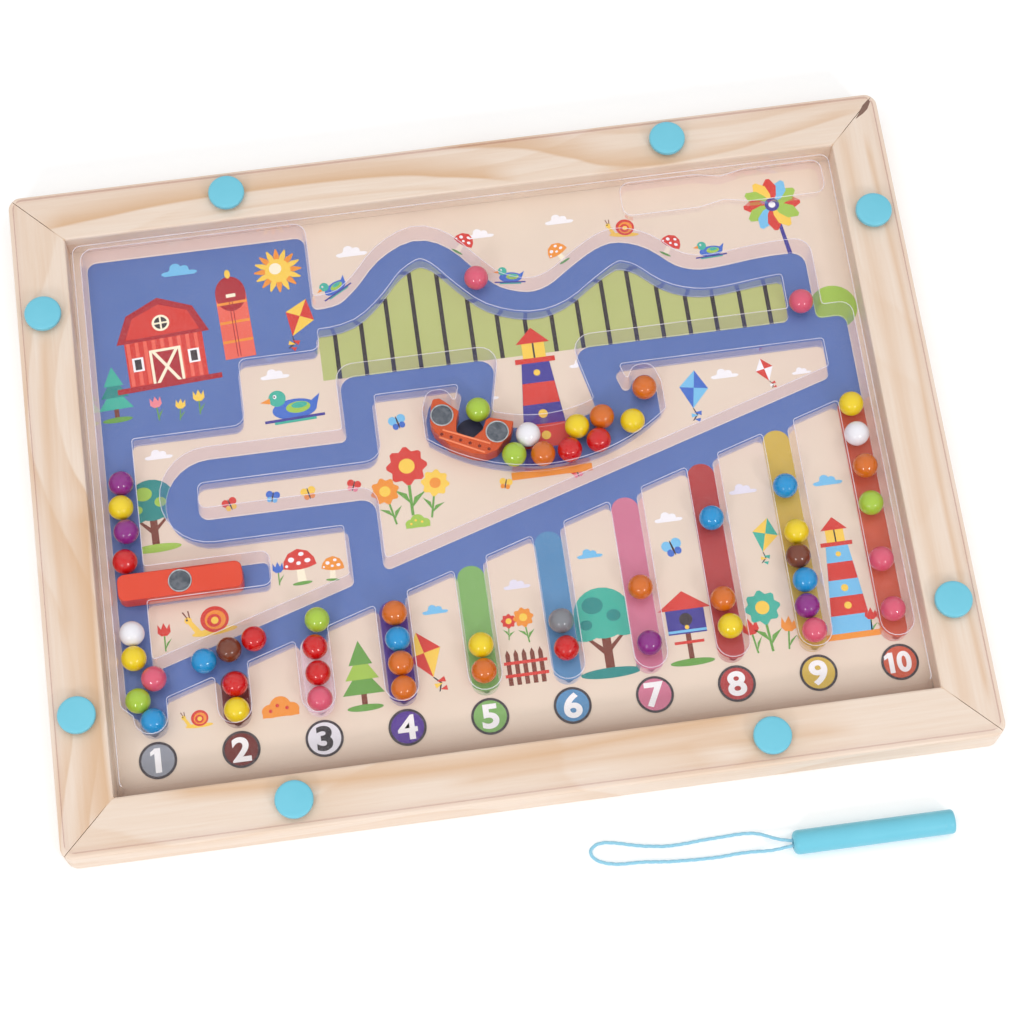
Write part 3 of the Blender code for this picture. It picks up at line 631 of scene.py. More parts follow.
def rim_line(name, level, radius):
    """Thin tube along the tray's rims at one level, but for the front one, that carries a painted highlight.
    """
    front_end = opening_low[1] + 0.005
    rim = copy_of("maze_tray", name, False)
    choose(rim, "EDGE", lambda edge: not is_sharp(edge, 50)
           or any(abs(vert.co.z - level) >= 0.00002 for vert in edge.verts)
           or all(vert.co.y < front_end for vert in edge.verts))
    bpy.ops.mesh.delete(type="EDGE")
    leave()
    bpy.ops.object.convert(target="CURVE")
    rim.data.bevel_depth, rim.data.bevel_resolution = radius, 1
    bpy.ops.object.convert(target="MESH")
    smooth(rim, 80)
    return rim


class BOARD_OT_caps(bpy.types.Operator):
    """Turns the eight push-in caps"""
    bl_idname = "maze_board.caps"
    bl_label = "Fixing caps"

    def execute(self, context):
        look = context.scene.maze_board
        finish = plastic_finish("cap_plastic", look.cap_blue, 0.34, 1400.0, 0.05, 0.00002)
        head, top, foot = (cap_high.x - cap_low.x) / 2, cap_high.z, cap_low.z
        tip, shank, under, lower, upper = 0.0018, 0.0025, 0.0191, 0.0004, 0.0009
        profile = [(0, foot), (tip, foot), (shank, foot + 0.001), (shank, under), (head - lower, under),
                   *arc(head - lower, under + lower, lower, lower, -90, 0, 3),
                   *arc(head - upper, top - 0.0012, upper, upper, 0, 70, 6),
                   (head - 0.0016, top - 0.00016), (head - 0.0022, top - 0.00020),
                   (head * 0.62, top - 0.00008), (head * 0.35, top - 0.00003), (0, top)]
        for number in range(1, 9):
            middle = sum(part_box("rivet_%d" % number), Vector()) / 2
            cap = turned("fixing_cap_%d" % number, profile, look.cap_sides, (middle.x, middle.y, 0))
            smooth(cap, 40)
            dress(cap, finish, "board", ["rivet_%d" % number])
        return {"FINISHED"}


class BOARD_OT_gate(bpy.types.Operator):
    """Shapes the sliding gate and its steel disc"""
    bl_idname = "maze_board.gate"
    bl_label = "Sliding gate"

    def execute(self, context):
        look = context.scene.maze_board
        gate = copy_of("gate_slider", "gate_block")
        bevel_sharp(gate, look.part_round, 4, 50)
        smooth(gate, 50, True)
        orange = plastic_finish("orange_plastic_satin", look.part_orange, 0.32, 1100.0, 0.05, 0.00002)
        dress(gate, orange, "gate", ["gate_slider"])
        steel_discs("gate", ["gate_disc"])
        return {"FINISHED"}


def steel_discs(body, nodes):
    steel = steel_finish("disc_steel_" + body, tone(92, 98, 106), tone(124, 128, 136))
    # Painted highlight: the thin ring round each disc is a lighter copy of its steel, standing for light
    # along the disc's edge.
    highlight_steel = steel_finish("rim_steel_" + body, tone(176, 182, 186), tone(206, 210, 212))
    for name in nodes:
        low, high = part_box(name)
        middle, radius, foot, top = (low + high) / 2, (high.x - low.x) / 2, low.z, high.z
        profile = [(0, foot), (radius - 0.0003, foot), (radius, foot + 0.0003), (radius, top - 0.00025),
                   (radius - 0.00025, top), (radius * 0.5, top - 0.00002), (0, top - 0.00002)]
        rim = arc(radius + 0.00020, top - 0.00012, 0.00030, 0.00030, 0, 360, 12)
        for part, outline, angle, finish, stands_for in (("_steel", profile, 30, steel, [name]),
                                                         ("_seat", rim, 60, highlight_steel, [])):
            made = turned(name + part, outline, 64, (middle.x, middle.y, 0))
            smooth(made, angle)
            dress(made, finish, body, stands_for)


class BOARD_OT_boat(bpy.types.Operator):
    """Shapes the boat with its two rubbing strakes, portholes and discs, and the painted shade in its notch
    """
    bl_idname = "maze_board.boat"
    bl_label = "Swinging boat"

    def execute(self, context):
        look = context.scene.maze_board
        hull = copy_of("boat_hull", "boat_body")
        bevel_sharp(hull, look.part_round * 0.75, 4, 50)
        smooth(hull, 50, True)
        orange = plastic_finish("boat_plastic", look.boat_orange, 0.32, 1100.0, 0.05, 0.00002)
        dress(hull, orange, "boat", ["boat_hull"])
        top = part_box("boat_hull")[1].z
        # Painted highlight: the strakes are a lighter orange than the hull, standing for light along the
        # ridges.
        light = plastic_finish("strake_plastic", tone(240, 138, 96), 0.3, 1100.0, 0.05, 0.00002)
        for number, start, end in ((1, (-0.0172, 0.0158, top), (0.0015, 0.0072, top)),
                                   (2, (-0.0190, 0.0128, top), (-0.0012, 0.0036, top))):
            strake = strip("boat_strake_%d" % number, Vector(start), Vector(end), 0.00040)
            dress(strake, light, "boat")
        dark = plastic_finish("porthole_dark", tone(110, 34, 22), 0.5, 900.0, 0.04)
        profile = [(0, top - 0.0002), (0.00062, top - 0.0002), (0.00070, top + 0.00002),
                   (0.00062, top + 0.00008), (0.0005, top + 0.00005), (0, top + 0.00003)]
        holes, first, last = 6, Vector((-0.0177, 0.0139, 0)), Vector((0.0006, 0.0049, 0))
        for number in range(holes):
            spot = first.lerp(last, number / (holes - 1))
            hole = turned("porthole_%d" % (number + 1), profile, 20, spot)
            smooth(hole, 38)
            dress(hole, dark, "boat")
        steel_discs("boat", ["boat_disc_1", "boat_disc_2"])
        # Painted shade: a flat dark disc on the channel floor, riding with the boat, stands for the shade
        # inside its notch.
        shade = plastic_finish("notch_shade_ink", tone(34, 38, 66), 0.5, 900.0, 0.04)
        low, high, radius, middle = tray_floor + 0.00005, tray_floor + 0.00015, 0.0056, (-0.0056, 0.0166, 0)
        pool = turned("notch_shade", [(0, low), (radius, low), (radius, high), (0, high)], 48, middle)
        dress(pool, shade, "boat")
        return {"FINISHED"}


def strip(name, start, end, radius):
    along = end - start
    turn = Vector((0, 0, 1)).rotation_difference(along).to_euler()
    bpy.ops.mesh.primitive_cylinder_add(vertices=12, radius=radius, depth=along.length,
                                        location=(start + end) / 2, rotation=turn)
    made = bpy.context.object
    made.name = name
    settle(made)
    bevel_sharp(made, radius * 0.6, 3, 60)
    smooth(made, 60)
    return made


def metres(words):
    """Places written in millimetres."""
    return [float(word) / 1000 for word in words]


# Every ball: body that carries it, node it stands for, and colour and place in millimetres of each
ball_rows = """
lane_top lane_beads_top purple -149.5 11.5 yellow -150.4 1.1 purple -149.2 -9.6
lane_top lane_bead_red red -150.8 -22.2
lane_middle lane_beads_middle white -150.7 -52.8 yellow -150.8 -63.2
lane_pink lane_bead_pink pink -143.7 -72.6
lane_low lane_beads_low green -150.7 -80.8 blue -145.4 -89.8
diagonal diagonal_beads blue -123.4 -67.9 brown -113.1 -64.7 red -102.8 -61.5
slot2 slot2_beads red -112.1 -79.1 yellow -112.5 -89.7
slot3_green slot3_bead_green green -77 -57
slot3 slot3_beads red -79.1 -68.2 red -79.1 -79.1 pink -79.5 -89.7
slot4 slot4_beads orange -46.1 -58.4 blue -46.1 -69.3 orange -46.1 -79.5 orange -46.2 -89.9
slot5 slot5_beads yellow -13.6 -76.3 orange -13.8 -87.1
slot6 slot6_beads grey 19.4 -70.7 red 19.9 -82.2
slot7_orange slot7_bead_orange orange 52.9 -61
slot7_purple slot7_bead_purple purple 52.9 -84.6
slot8_blue slot8_bead_blue blue 85.9 -35.8
slot8 slot8_beads orange 84.9 -70.4 yellow 85.9 -82
slot9_blue slot9_bead_blue blue 117.8 -26.2
slot9 slot9_beads yellow 118.9 -46.2 brown 117.8 -56.6 blue 118.8 -67 purple 117.7 -77.9 pink 118.9 -88.3
slot10_yellow slot10_bead_yellow yellow 150.8 5.6
slot10_white slot10_bead_white white 150.7 -7.7
slot10_orange slot10_bead_orange orange 151.6 -22
slot10_green slot10_bead_green green 151 -38.2
slot10_pink_1 slot10_bead_pink_1 pink 150.7 -62.4
slot10_pink_2 slot10_bead_pink_2 pink 151.5 -83.8
track_pink track_bead_pink pink 5.6 83
link_pink link_bead_pink pink 138.4 53.9
notch_ball notch_bead green -1.5 23.9
boat_crowd boat_beads_1 green 10.6 2.3 white 17.4 10.2
boat_crowd boat_beads_2 orange 22.3 1 red 33.4 1.3
boat_crowd boat_beads_3 yellow 37.8 11.1 red 45.7 3.9
boat_crowd boat_bead_orange orange 48.5 14
boat_yellow boat_bead_yellow yellow 60.7 10.4
boat_last boat_bead_last orange 67.7 24.4
"""


class BOARD_OT_balls(bpy.types.Operator):
    """Makes each painted steel ball, with the tiny flat where it dried"""
    bl_idname = "maze_board.balls"
    bl_label = "Steel balls"

    def execute(self, context):
        look = context.scene.maze_balls
        finishes = {shade: paint_finish("paint_" + shade, getattr(look, shade))
                    for shade in BallLook.__annotations__}
        dice = random.Random(11)
        count = 0
        for row in ball_rows.strip().splitlines():
            body, node_name, *words = row.split()
            for shade, spot in zip(words[::3], zip(metres(words[1::3]), metres(words[2::3]))):
                count += 1
                bpy.ops.mesh.primitive_uv_sphere_add(segments=48, ring_count=24, radius=ball_radius,
                                                     location=(*spot, ball_height))
                ball = bpy.context.object
                ball.name = "ball_%02d_%s" % (count, shade)
                choose(ball, "VERT", lambda vert: vert.co.z < -ball_radius * 0.985)
                bpy.ops.transform.resize(value=(1, 1, 0.5))
                leave()
                ball.rotation_euler = (dice.uniform(1.2, 2.0), dice.uniform(-0.5, 0.5), dice.uniform(0, 6.28))
                settle(ball)
                smooth(ball, 60)
                dress(ball, finishes[shade], body, [node_name])
        return {"FINISHED"}


# Print: flat shapes on the card, each on its own thin step
def outline_box(left, right, low, high, radius=0.0):
    if radius <= 0:
        return [(left, low), (right, low), (right, high), (left, high)]
    return [spot for x, y, begin in ((right - radius, high - radius, 0), (left + radius, high - radius, 90),
                                     (left + radius, low + radius, 180), (right - radius, low + radius, 270))
            for spot in arc(x, y, radius, radius, begin, begin + 90, 8)]


class BOARD_OT_card(bpy.types.Operator):
    """Prints the card: channel floors, green field, number slots, numbers and plain pictures"""
    bl_idname = "maze_board.card"
    bl_label = "Printed card"

    def execute(self, context):
        look = context.scene.maze_print
        ink = ink_finish("print_ink")
        dress_node("printed_card", paper_finish("card_paper", look))
        channel_print(look, ink)
        draw_print(look, ink)
        numbers_print(look, ink)
        return {"FINISHED"}


def tint(mesh, colours):
    """Gives each face of a print its ink."""
    layer = mesh.attributes.new("ink", "FLOAT_COLOR", "CORNER")
    layer.data.foreach_set("color", [value for face, colour in zip(mesh.polygons, colours)
                                     for value in (*colour, 1.0) * face.loop_total])


def print_one(made, colour, ink):
    tint(made.data, [colour] * len(made.data.polygons))
    dress(made, ink, "board")


def channel_print(look, ink):
    floor = copy_of("maze_tray", "channel_print", False)
    choose(floor, "FACE", lambda face: face.normal.z <= 0.9
           or abs(face.calc_center_median().z - tray_floor) >= 0.0002)
    bpy.ops.mesh.delete(type="FACE")
    bpy.ops.mesh.select_all(action="SELECT")
    bpy.ops.transform.translate(value=(0, 0, card_top + 6 * ink_step - tray_floor))
    leave()
    print_one(floor, look.channel, ink)


def print_piece(name, shapes, ink):
    """Joins flat shapes, each with its corners, its colour and its step, into one print."""
    verts, faces = [], []
    for points, _, level in shapes:
        area = sum(a[0] * b[1] - b[0] * a[1] for a, b in zip([points[-1], *points], points))
        faces.append(range(len(verts), len(verts) + len(points)))
        verts += [(x, y, card_top + ink_step * level) for x, y in (points if area > 0 else points[::-1])]
    made = from_lists(name, verts, faces=faces)
    tint(made.data, [tuple(colour) for _, colour, _ in shapes])
    split_flat(made)
    dress(made, ink, "board")


slot_first, slot_pitch, slot_half, slot_end = -0.1457, 0.0330, 0.0056, -0.0955
slot_tones = [(146, 148, 158), (112, 44, 40), (244, 226, 232), (88, 58, 146), (130, 176, 102), (92, 142, 186),
              (208, 122, 148), (178, 66, 66), (208, 176, 82), (202, 92, 68)]
number_line = -0.1043
bars_foot = 0.0479

# Upper edge of the green field, in millimetres
track_points = """
-62 73.6, -50 75.7, -40 83.5, -30 94.2, -18 100, -8 96, 2 84.5, 12 74.8, 26 70, 38 72.3, 50 80.2, 60 86.2,
67 87.5, 76 83.8, 86 75, 96 70.9, 106 70.4, 122 72, 133 72.6
"""
track_line = [tuple(metres(spot.split())) for spot in track_points.split(",")]


def numbers_print(look, ink):
    for number, own in enumerate(slot_tones, 1):
        x = slot_first + slot_pitch * (number - 1)
        dark, wide = number == 3, number < 10
        disc_shade, shade = (tone(228, 224, 232), tone(58, 52, 56)) if dark else (tone(*own), look.numeral)
        for name, size, colour, level in (("ring", 0.00755, look.dark_ring, 12),
                                          ("disc", 0.00655, disc_shade, 13)):
            bpy.ops.mesh.primitive_circle_add(vertices=64, radius=size, fill_type="NGON",
                                              location=(x, number_line, card_top + ink_step * level))
            made = bpy.context.object
            made.name = "number_%s_%d" % (name, number)
            settle(made)
            print_one(made, colour, ink)
        bpy.ops.object.text_add(location=(x, number_line, card_top + ink_step * 14))
        text = bpy.context.object.data
        text.body, text.align_x, text.align_y = str(number), "CENTER", "CENTER"
        text.size, text.space_character = 0.0134 if wide else 0.0112, 0.92
        text.offset, text.bevel_depth, text.bevel_resolution = 0.0001, 0.00035, 3
        only(bpy.context.object)
        bpy.ops.object.convert(target="MESH")
        made = bpy.context.object
        made.name = "numeral_%d" % number
        made.scale = (1.12 if wide else 1.0, 1.0, 0.01)
        settle(made)
        sides = [[vert.co[k] for vert in made.data.vertices] for k in (0, 1)]
        off = [at - (min(side) + max(side)) / 2 for at, side in zip((x, number_line), sides)]
        bpy.ops.transform.translate(value=(*off, 0))
        settle(made)
        print_one(made, shade, ink)
        if number in (1, 10):
            left, top = min(sides[0]) + off[0], max(sides[1]) + off[1]
            flag = [(left + 0.0004, top), (left - 0.0016, top - 0.0014), (left - 0.0016, top - 0.0030),
                    (left + 0.0004, top - 0.0020)]
            print_piece(made.name + "_flag", [(flag, shade, 14)], ink)


def draw_print(look, ink):
    field = [(-0.0630, bars_foot), (0.1328, bars_foot), *track_line[::-1], (-0.0630, 0.0735)]
    shapes = [(field, look.grass, 1)]
    for index in range(17):
        x = -0.0560 + 0.01135 * index
        shapes.append((outline_box(x - 0.0009, x + 0.0009, bars_foot, track_height(x)), look.bar, 2))
    for index, shade in enumerate(slot_tones):
        x = slot_first + slot_pitch * index
        top = -0.0379 + 0.3125 * x + 0.0014 if index else -0.0845
        slot = outline_box(x - slot_half, x + slot_half, slot_end, top, slot_half * 0.98)
        shapes.append((slot, tone(*shade), 7))
    print_piece("card_print", shapes + pictures(), ink)


def track_height(x):
    for (x0, y0), (x1, y1) in zip(track_line, track_line[1:]):
        if x0 <= x <= x1:
            return y0 + (y1 - y0) * (x - x0) / (x1 - x0)
    return track_line[0][1]


inks = {
    "red": (214, 66, 58), "deep_red": (172, 42, 52), "coral": (236, 108, 92), "orange": (240, 150, 62),
    "yellow": (248, 206, 88), "cream": (252, 240, 214), "white": (250, 246, 250), "teal": (72, 178, 158),
    "deep_teal": (48, 138, 134), "green": (164, 198, 84), "leaf": (108, 160, 76), "sky": (124, 194, 236),
    "blue": (72, 112, 200), "violet": (70, 62, 148), "brown": (122, 62, 48), "dark": (62, 50, 54),
    "pink": (240, 140, 150), "mauve": (232, 226, 240)}

# Shapes of each motif and their inks, in hundredths of its height from the middle of its foot
motif_rows = """
barn: box -42 42 0 56 red / planks -40 42 2 54 9 42 coral /
    corners -50 52 -36 84 0 100 36 84 50 52 deep_red / corners -40 56 -30 80 0 92 30 80 40 56 red /
    box -17 17 0 40 cream / box -14 14 0 37 deep_red / corners -14 0 -10 0 14 37 10 37 cream /
    corners 10 0 14 0 -10 37 -14 37 cream / disc 0 70 9.5 9.5 cream / disc 0 70 7 7 dark /
    box -7 7 69 71 cream / box -1 1 63 77 cream / box -36 -24 18 34 white / box 24 36 18 34 white /
    box -33.5 -26.5 20 32 dark / box 26.5 33.5 20 32 dark / box -56 56 -5 1 deep_red
silo: box -16 16 0 74 coral / disc 0 74 16 20 deep_red / box -16 16 18 21 orange /
    box -16 16 40 43 orange / box -16 16 62 65 orange / box -5 5 70 74 cream /
    planks -3 3 2 66 2 30 deep_red / disc 0 97 3 5 yellow
sun: petals 0 50 50 6 16 0 orange yellow / disc 0 50 27 27 yellow / disc -5 55 13 13 cream
kite: corners 0 100 26 66 0 66 first / corners 0 100 -26 66 0 66 second / corners 26 66 0 26 0 66 second /
    corners -26 66 0 26 0 66 first / corners -1 26 1 26 9 14 2 2 0 2 6 14 dark /
    corners 2 18 15 22 15 13 first / corners 10 13 -3 16 -2 8 second / corners 3 5 14 8 13 0 first
round_tree: box -5 5 0 42 brown / corners -3 20 -2 28 -20 44 -22 42 brown /
    corners 3 24 2 30 20 46 22 44 brown / disc 0 70 32 30 first / disc -22 56 20 17 first /
    disc 22 58 20 17 first / disc -10 80 12 10 second / disc 12 66 8 7 second / disc -20 58 7 6 second /
    disc 0 0 34 6 second
pine: box -4 4 0 30 brown / corners -30 20 30 20 0 62 first / corners -24 42 24 42 0 82 second /
    corners -17 64 17 64 0 100 first / disc 0 0 26 5 leaf
duck: disc 0 34 62 30 blue / corners 30 40 74 70 60 30 blue / disc -44 72 24 24 teal /
    corners -64 76 -92 66 -64 58 orange / disc 10 38 34 17 green / disc 14 44 22 9 teal /
    disc -50 78 5 6 white / disc -51 78 2.5 3 dark / box -86 80 2 10 violet / box -60 56 -5 2 teal
snail: disc 6 10 74 12 yellow / corners -52 8 -80 62 -66 66 -34 16 yellow / disc -72 62 12 12 yellow /
    disc 12 50 46 44 red / disc 14 48 34 32 orange / disc 10 46 23 22 red / disc 12 46 12 12 yellow /
    disc -76 64 3.5 3.5 dark / corners -76 70 -72 70 -84 94 -88 92 brown /
    corners -68 70 -64 70 -66 94 -70 94 brown
toadstool: corners -12 0 12 0 9 52 -9 52 cream / disc 0 0 26 5 leaf /
    corners -44 46 -40 66 -26 86 0 96 26 86 40 66 44 46 22 40 0 38 -22 40 first / disc -20 68 8 7 white /
    disc 8 80 7 5.5 white / disc 22 60 8 6 white / disc -2 56 6 5 white / disc -34 52 4 4 white
flower: corners -2 0 2 0 2 60 -2 60 leaf / corners 0 10 22 34 5 26 leaf / corners 0 16 -22 40 -5 32 leaf /
    petals 0 72 28 9.5 8 0 first / disc 0 72 11 11 second
tulip: corners -2.5 0 2.5 0 2.5 60 -2.5 60 leaf / corners 0 6 24 44 6 28 leaf /
    corners -20 96 -22 66 -10 54 10 54 22 66 20 96 10 78 0 100 -10 78 first
cloud: disc -90 22 50 20 first / disc 0 34 90 34 first / disc -25 66 46 42 first / disc 44 52 40 34 first /
    disc 100 20 50 18 first / box -120 130 0 14 first
butterfly: disc -26 66 26 28 first / disc 26 66 26 28 first / disc -20 26 18 20 second /
    disc 20 26 18 20 second / disc 0 48 5 42 dark
lighthouse: corners -17 0 17 0 9 76 -9 76 first / corners -15.2 16 15.2 16 13.6 32 -13.6 32 second /
    corners -12 46 12 46 10.5 61 -10.5 61 second / box -13 13 75 78.5 second /
    box -7.5 7.5 78.5 89 yellow / corners -11 89 11 89 0 100 second / box -0.6 0.6 78.5 89 dark /
    disc 0 39 3 3 yellow / disc 0 68 2.2 2.2 yellow / disc 0 24 3 3 yellow / box -26 26 -4 1 orange
pinwheel: corners 2 46 6 50 34 -44 27 -46 violet /
    petals 0 55 45 11.5 12 8 red green sky red yellow green / disc 0 55 11.5 11.5 violet /
    disc 0 55 5.5 5.5 white
birdhouse: box -3.5 3.5 0 50 brown / box -26 26 40 76 violet / corners -36 74 36 74 0 100 red /
    disc 0 60 9 9 dark / box -26 26 42 45.5 sky / disc 0 49 3 3 yellow / disc 0 0 30 5 leaf /
    box -20 20 26 30 red
fence: planks -50 50 0 78 5 55 brown / box -56 50 20 28 red / box -56 50 52 60 red /
    corners -50 78 -39 78 -44.5 90 brown / corners -30 78 -19 78 -24.5 90 brown /
    corners -10 78 1 78 -4.5 90 brown / corners 10 78 21 78 15.5 90 brown /
    corners 30 78 41 78 35.5 90 brown
bush: disc -34 24 34 26 first / disc 0 40 38 36 first / disc 36 24 32 26 first / box -66 66 0 14 first /
    disc -10 42 7 7 second / disc 24 30 7 7 second / disc -36 24 7 7 second
hill: disc 0 0 100 100 first
"""

# Each motif's foot and height in millimetres, lean in degrees, print step, and first and second ink
picture_places = """
barn -126.2 56 39 3 9 / silo -95.8 63 40 3 9 / sun -76.5 90.5 20 0 9 / pine -149 42 24 2 9 teal deep_teal /
kite -76 64 24 -24 9 red yellow / tulip -115 40 11 0 9 yellow / tulip -132 39.5 11 6 9 pink /
tulip -123.5 38.5 9.5 -6 9 yellow / cloud -118 104 5.2 0 9 sky / duck -76 32 15 2 /
cloud -83 51.5 4.2 white / round_tree -138.2 -16 30 1 deep_teal green / cloud -134 22.5 4 white /
butterfly -106 -4 6 18 red yellow / butterfly -90 -3 5.6 -14 blue sky /
butterfly -74 -3.6 6 12 yellow orange / butterfly -57 -2.6 5.6 -20 red pink /
toadstool -81.2 -38.8 15.5 3 red / toadstool -69 -39 10.5 -6 orange / tulip -90.5 -38.5 10 blue /
snail -119 -55.5 12.5 4 / tulip -138.5 -60 12 red / snail -128.7 -93 7.5 / bush -95.7 -93 11 orange red /
pine -62.2 -94 28 leaf green / kite -32.2 -92 27 14 red yellow / cloud -30 -59 3.6 sky /
fence 3.8 -93 16.5 / flower 6 -76 15 6 orange yellow / flower -2 -74 11 -6 red yellow /
cloud 4 -53 3.8 mauve / round_tree 36.6 -93 36 teal deep_teal / cloud 35 -44 3.6 sky /
birdhouse 69.4 -93 30 / butterfly 70 -48 8 16 sky blue / cloud 69 -33 4 white /
flower 102 -93 26 4 teal yellow / tulip 96 -93 15 8 red / tulip 108.5 -93 14 -8 orange /
kite 103.5 -56 20 -16 teal yellow / cloud 101 -25 4 mauve / lighthouse 135 -90 50 sky red /
cloud 136 -26 4.2 sky / tulip 142.5 -91 11 -6 red / lighthouse 25.2 -4 64 0 8 violet red /
cloud 44 39.5 3.6 white / cloud 3 30 3.4 white / flower -33.5 -16 30 red yellow /
flower -26 -18 21 -12 yellow orange / flower -40.5 -19 21 12 orange yellow /
bush -32 -21.5 7.5 0 4 green yellow / butterfly -34 22 7 14 sky blue /
butterfly 5 -10 5.2 -16 yellow orange / butterfly 36 -9 5 12 red pink / kite 86 9 23 -10 blue sky /
cloud 102 26.5 4 white / kite 121 19 14.5 12 red white / cloud 134 24 2.8 white / pinwheel 133 88 27 -8 /
hill 152.5 52 10 0 2 green / cloud -45 103 4.6 white / cloud 10 104 4 white / cloud 44 106 4.2 white /
duck -52 87 8.2 30 / toadstool -0.5 99 10 -38 red / duck 20 81.5 7.8 -6 / toadstool 44 88.5 10 28 orange /
snail 70 96.5 8.5 -6 / toadstool 86.5 86 10 -34 red / duck 106 82 8 2
"""


def motif_shapes(kind, numbers, shades):
    """Corners and ink of each shape that one entry of a motif stands for.

    A box has its left, right, low and high side, a disc its middle and half sizes, and corners go round.
    Planks are a box with their count and the share that each fills. Petals have their middle, length,
    half width, count and first turn.
    """
    at = [number / 100 for number in numbers]
    if kind == "box":
        return [(outline_box(*at), shades[0])]
    if kind == "disc":
        return [(arc(*at, 0, 360, 24)[:-1], shades[0])]
    if kind == "corners":
        return [(list(zip(at[::2], at[1::2])), shades[0])]
    if kind == "planks":
        left, right, low, high, _, fill = at
        gap = (right - left) / numbers[4]
        return [(outline_box(left + gap * i, left + gap * (i + fill), low, high), shades[0])
                for i in range(int(numbers[4]))]
    leaf = ((0, 0), (0.35, 0.8), (0.7, 1), (1, 0.25), (1, -0.25), (0.7, -1), (0.35, -0.8))
    petals = []
    for i in range(int(numbers[4])):
        way = math.radians(numbers[5] + 360 * i / numbers[4])
        across, along = Vector((math.cos(way), math.sin(way))), Vector((-math.sin(way), math.cos(way)))
        petals.append(([Vector(at[:2]) + across * at[2] * out + along * at[3] * side for out, side in leaf],
                       shades[i % len(shades)]))
    return petals


def sorted_words(row):
    """Names and numbers of a row."""
    words = row.split()
    names = [word for word in words if word[0].isalpha()]
    return names, [float(word) for word in words if word not in names]


def pictures():
    """Sets out the plain printed pictures: farm, flowers, kites, birds, clouds and toadstools."""
    motifs = {}
    for row in motif_rows.strip().replace("\n    ", " ").splitlines():
        motif, entries = row.split(": ")
        motifs[motif] = []
        for entry in entries.split(" / "):
            (kind, *shades), numbers = sorted_words(entry)
            motifs[motif] += motif_shapes(kind, numbers, shades)
    shapes = []
    for place in picture_places.replace("\n", " ").split("/"):
        (motif, *own), (x, y, height, *rest) = sorted_words(place)
        lean, level = rest + [0, 3][len(rest):]
        turn = Matrix.Rotation(math.radians(lean), 2)
        for count, (outline, shade) in enumerate(motifs[motif]):
            placed = [turn @ Vector(spot) * height / 1000 + Vector((x, y)) / 1000 for spot in outline]
            ink = {"first": own[:1], "second": own[-1:]}.get(shade, [shade])[0]
            shapes.append(([tuple(spot) for spot in placed], tone(*inks[ink]), level + 0.12 * count))
    return shapes


class BOARD_OT_wand(bpy.types.Operator):
    """Turns the magnet wand: barrel, tip cap and magnet"""
    bl_idname = "maze_board.wand"
    bl_label = "Magnet wand"

    def execute(self, context):
        look = context.scene.maze_board
        finish = plastic_finish("wand_plastic_satin", look.cap_blue, 0.36, 1300.0, 0.05, 0.00002)
        for name, made_name in (("wand_barrel", "wand_barrel_turned"), ("wand_tip_cap", "wand_cap_turned")):
            piece = copy_of(name, made_name)
            smooth(piece, 40)
            dress(piece, finish, "wand", [name])
        low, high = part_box("wand_tip_cap")
        middle, seam = (low + high) / 2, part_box("wand_barrel")[1].x + 0.00015
        inner, outer, half = 0.0031, (high.z - low.z) / 2 - 0.00003, 0.0004
        outline = [(inner, -half), (outer, -half), (outer, half), (inner, half), (inner, -half)]
        ring = turned("wand_seam_fill", outline, 64, (seam, middle.y, middle.z), "X")
        smooth(ring, 40)
        dress(ring, finish, "wand")
        dress_node("wand_magnet", steel_finish("magnet_steel", tone(98, 110, 116), tone(132, 142, 146)))
        return {"FINISHED"}


# The cord's middle line, from the wand round its loop and back
cord_route = [
    (0.1005, -0.1703, 0.0049), (0.0972, -0.1703, 0.0049), (0.0940, -0.1698, 0.0048),
    (0.0908, -0.1687, 0.0040), (0.0879, -0.1672, 0.0029), (0.0850, -0.1656, 0.0019),
    (0.0819, -0.1645, 0.0010), (0.0787, -0.1641, 0.0008), (0.0754, -0.1640, 0.0008),
    (0.0721, -0.1641, 0.0008), (0.0688, -0.1642, 0.0008), (0.0655, -0.1643, 0.0008),
    (0.0622, -0.1644, 0.0008), (0.0589, -0.1646, 0.0008), (0.0556, -0.1648, 0.0008),
    (0.0523, -0.1649, 0.0008), (0.0490, -0.1649, 0.0008), (0.0457, -0.1647, 0.0008),
    (0.0425, -0.1642, 0.0008), (0.0392, -0.1637, 0.0008), (0.0360, -0.1630, 0.0008),
    (0.0328, -0.1622, 0.0008), (0.0296, -0.1613, 0.0008), (0.0264, -0.1606, 0.0008),
    (0.0232, -0.1602, 0.0008), (0.0199, -0.1608, 0.0008), (0.0178, -0.1631, 0.0008),
    (0.0190, -0.1660, 0.0008), (0.0218, -0.1678, 0.0008), (0.0249, -0.1688, 0.0008),
    (0.0282, -0.1694, 0.0008), (0.0315, -0.1696, 0.0008), (0.0348, -0.1697, 0.0008),
    (0.0381, -0.1699, 0.0008), (0.0413, -0.1703, 0.0008), (0.0446, -0.1707, 0.0008),
    (0.0479, -0.1711, 0.0008), (0.0512, -0.1713, 0.0008), (0.0544, -0.1715, 0.0008),
    (0.0577, -0.1717, 0.0008), (0.0610, -0.1718, 0.0008), (0.0643, -0.1719, 0.0008),
    (0.0676, -0.1719, 0.0008), (0.0709, -0.1718, 0.0008), (0.0742, -0.1716, 0.0008),
    (0.0775, -0.1716, 0.0008), (0.0808, -0.1717, 0.0009), (0.0841, -0.1721, 0.0015),
    (0.0873, -0.1725, 0.0027), (0.0906, -0.1726, 0.0040), (0.0939, -0.1724, 0.0048),
    (0.0972, -0.1722, 0.0049), (0.1005, -0.1721, 0.0049),
]


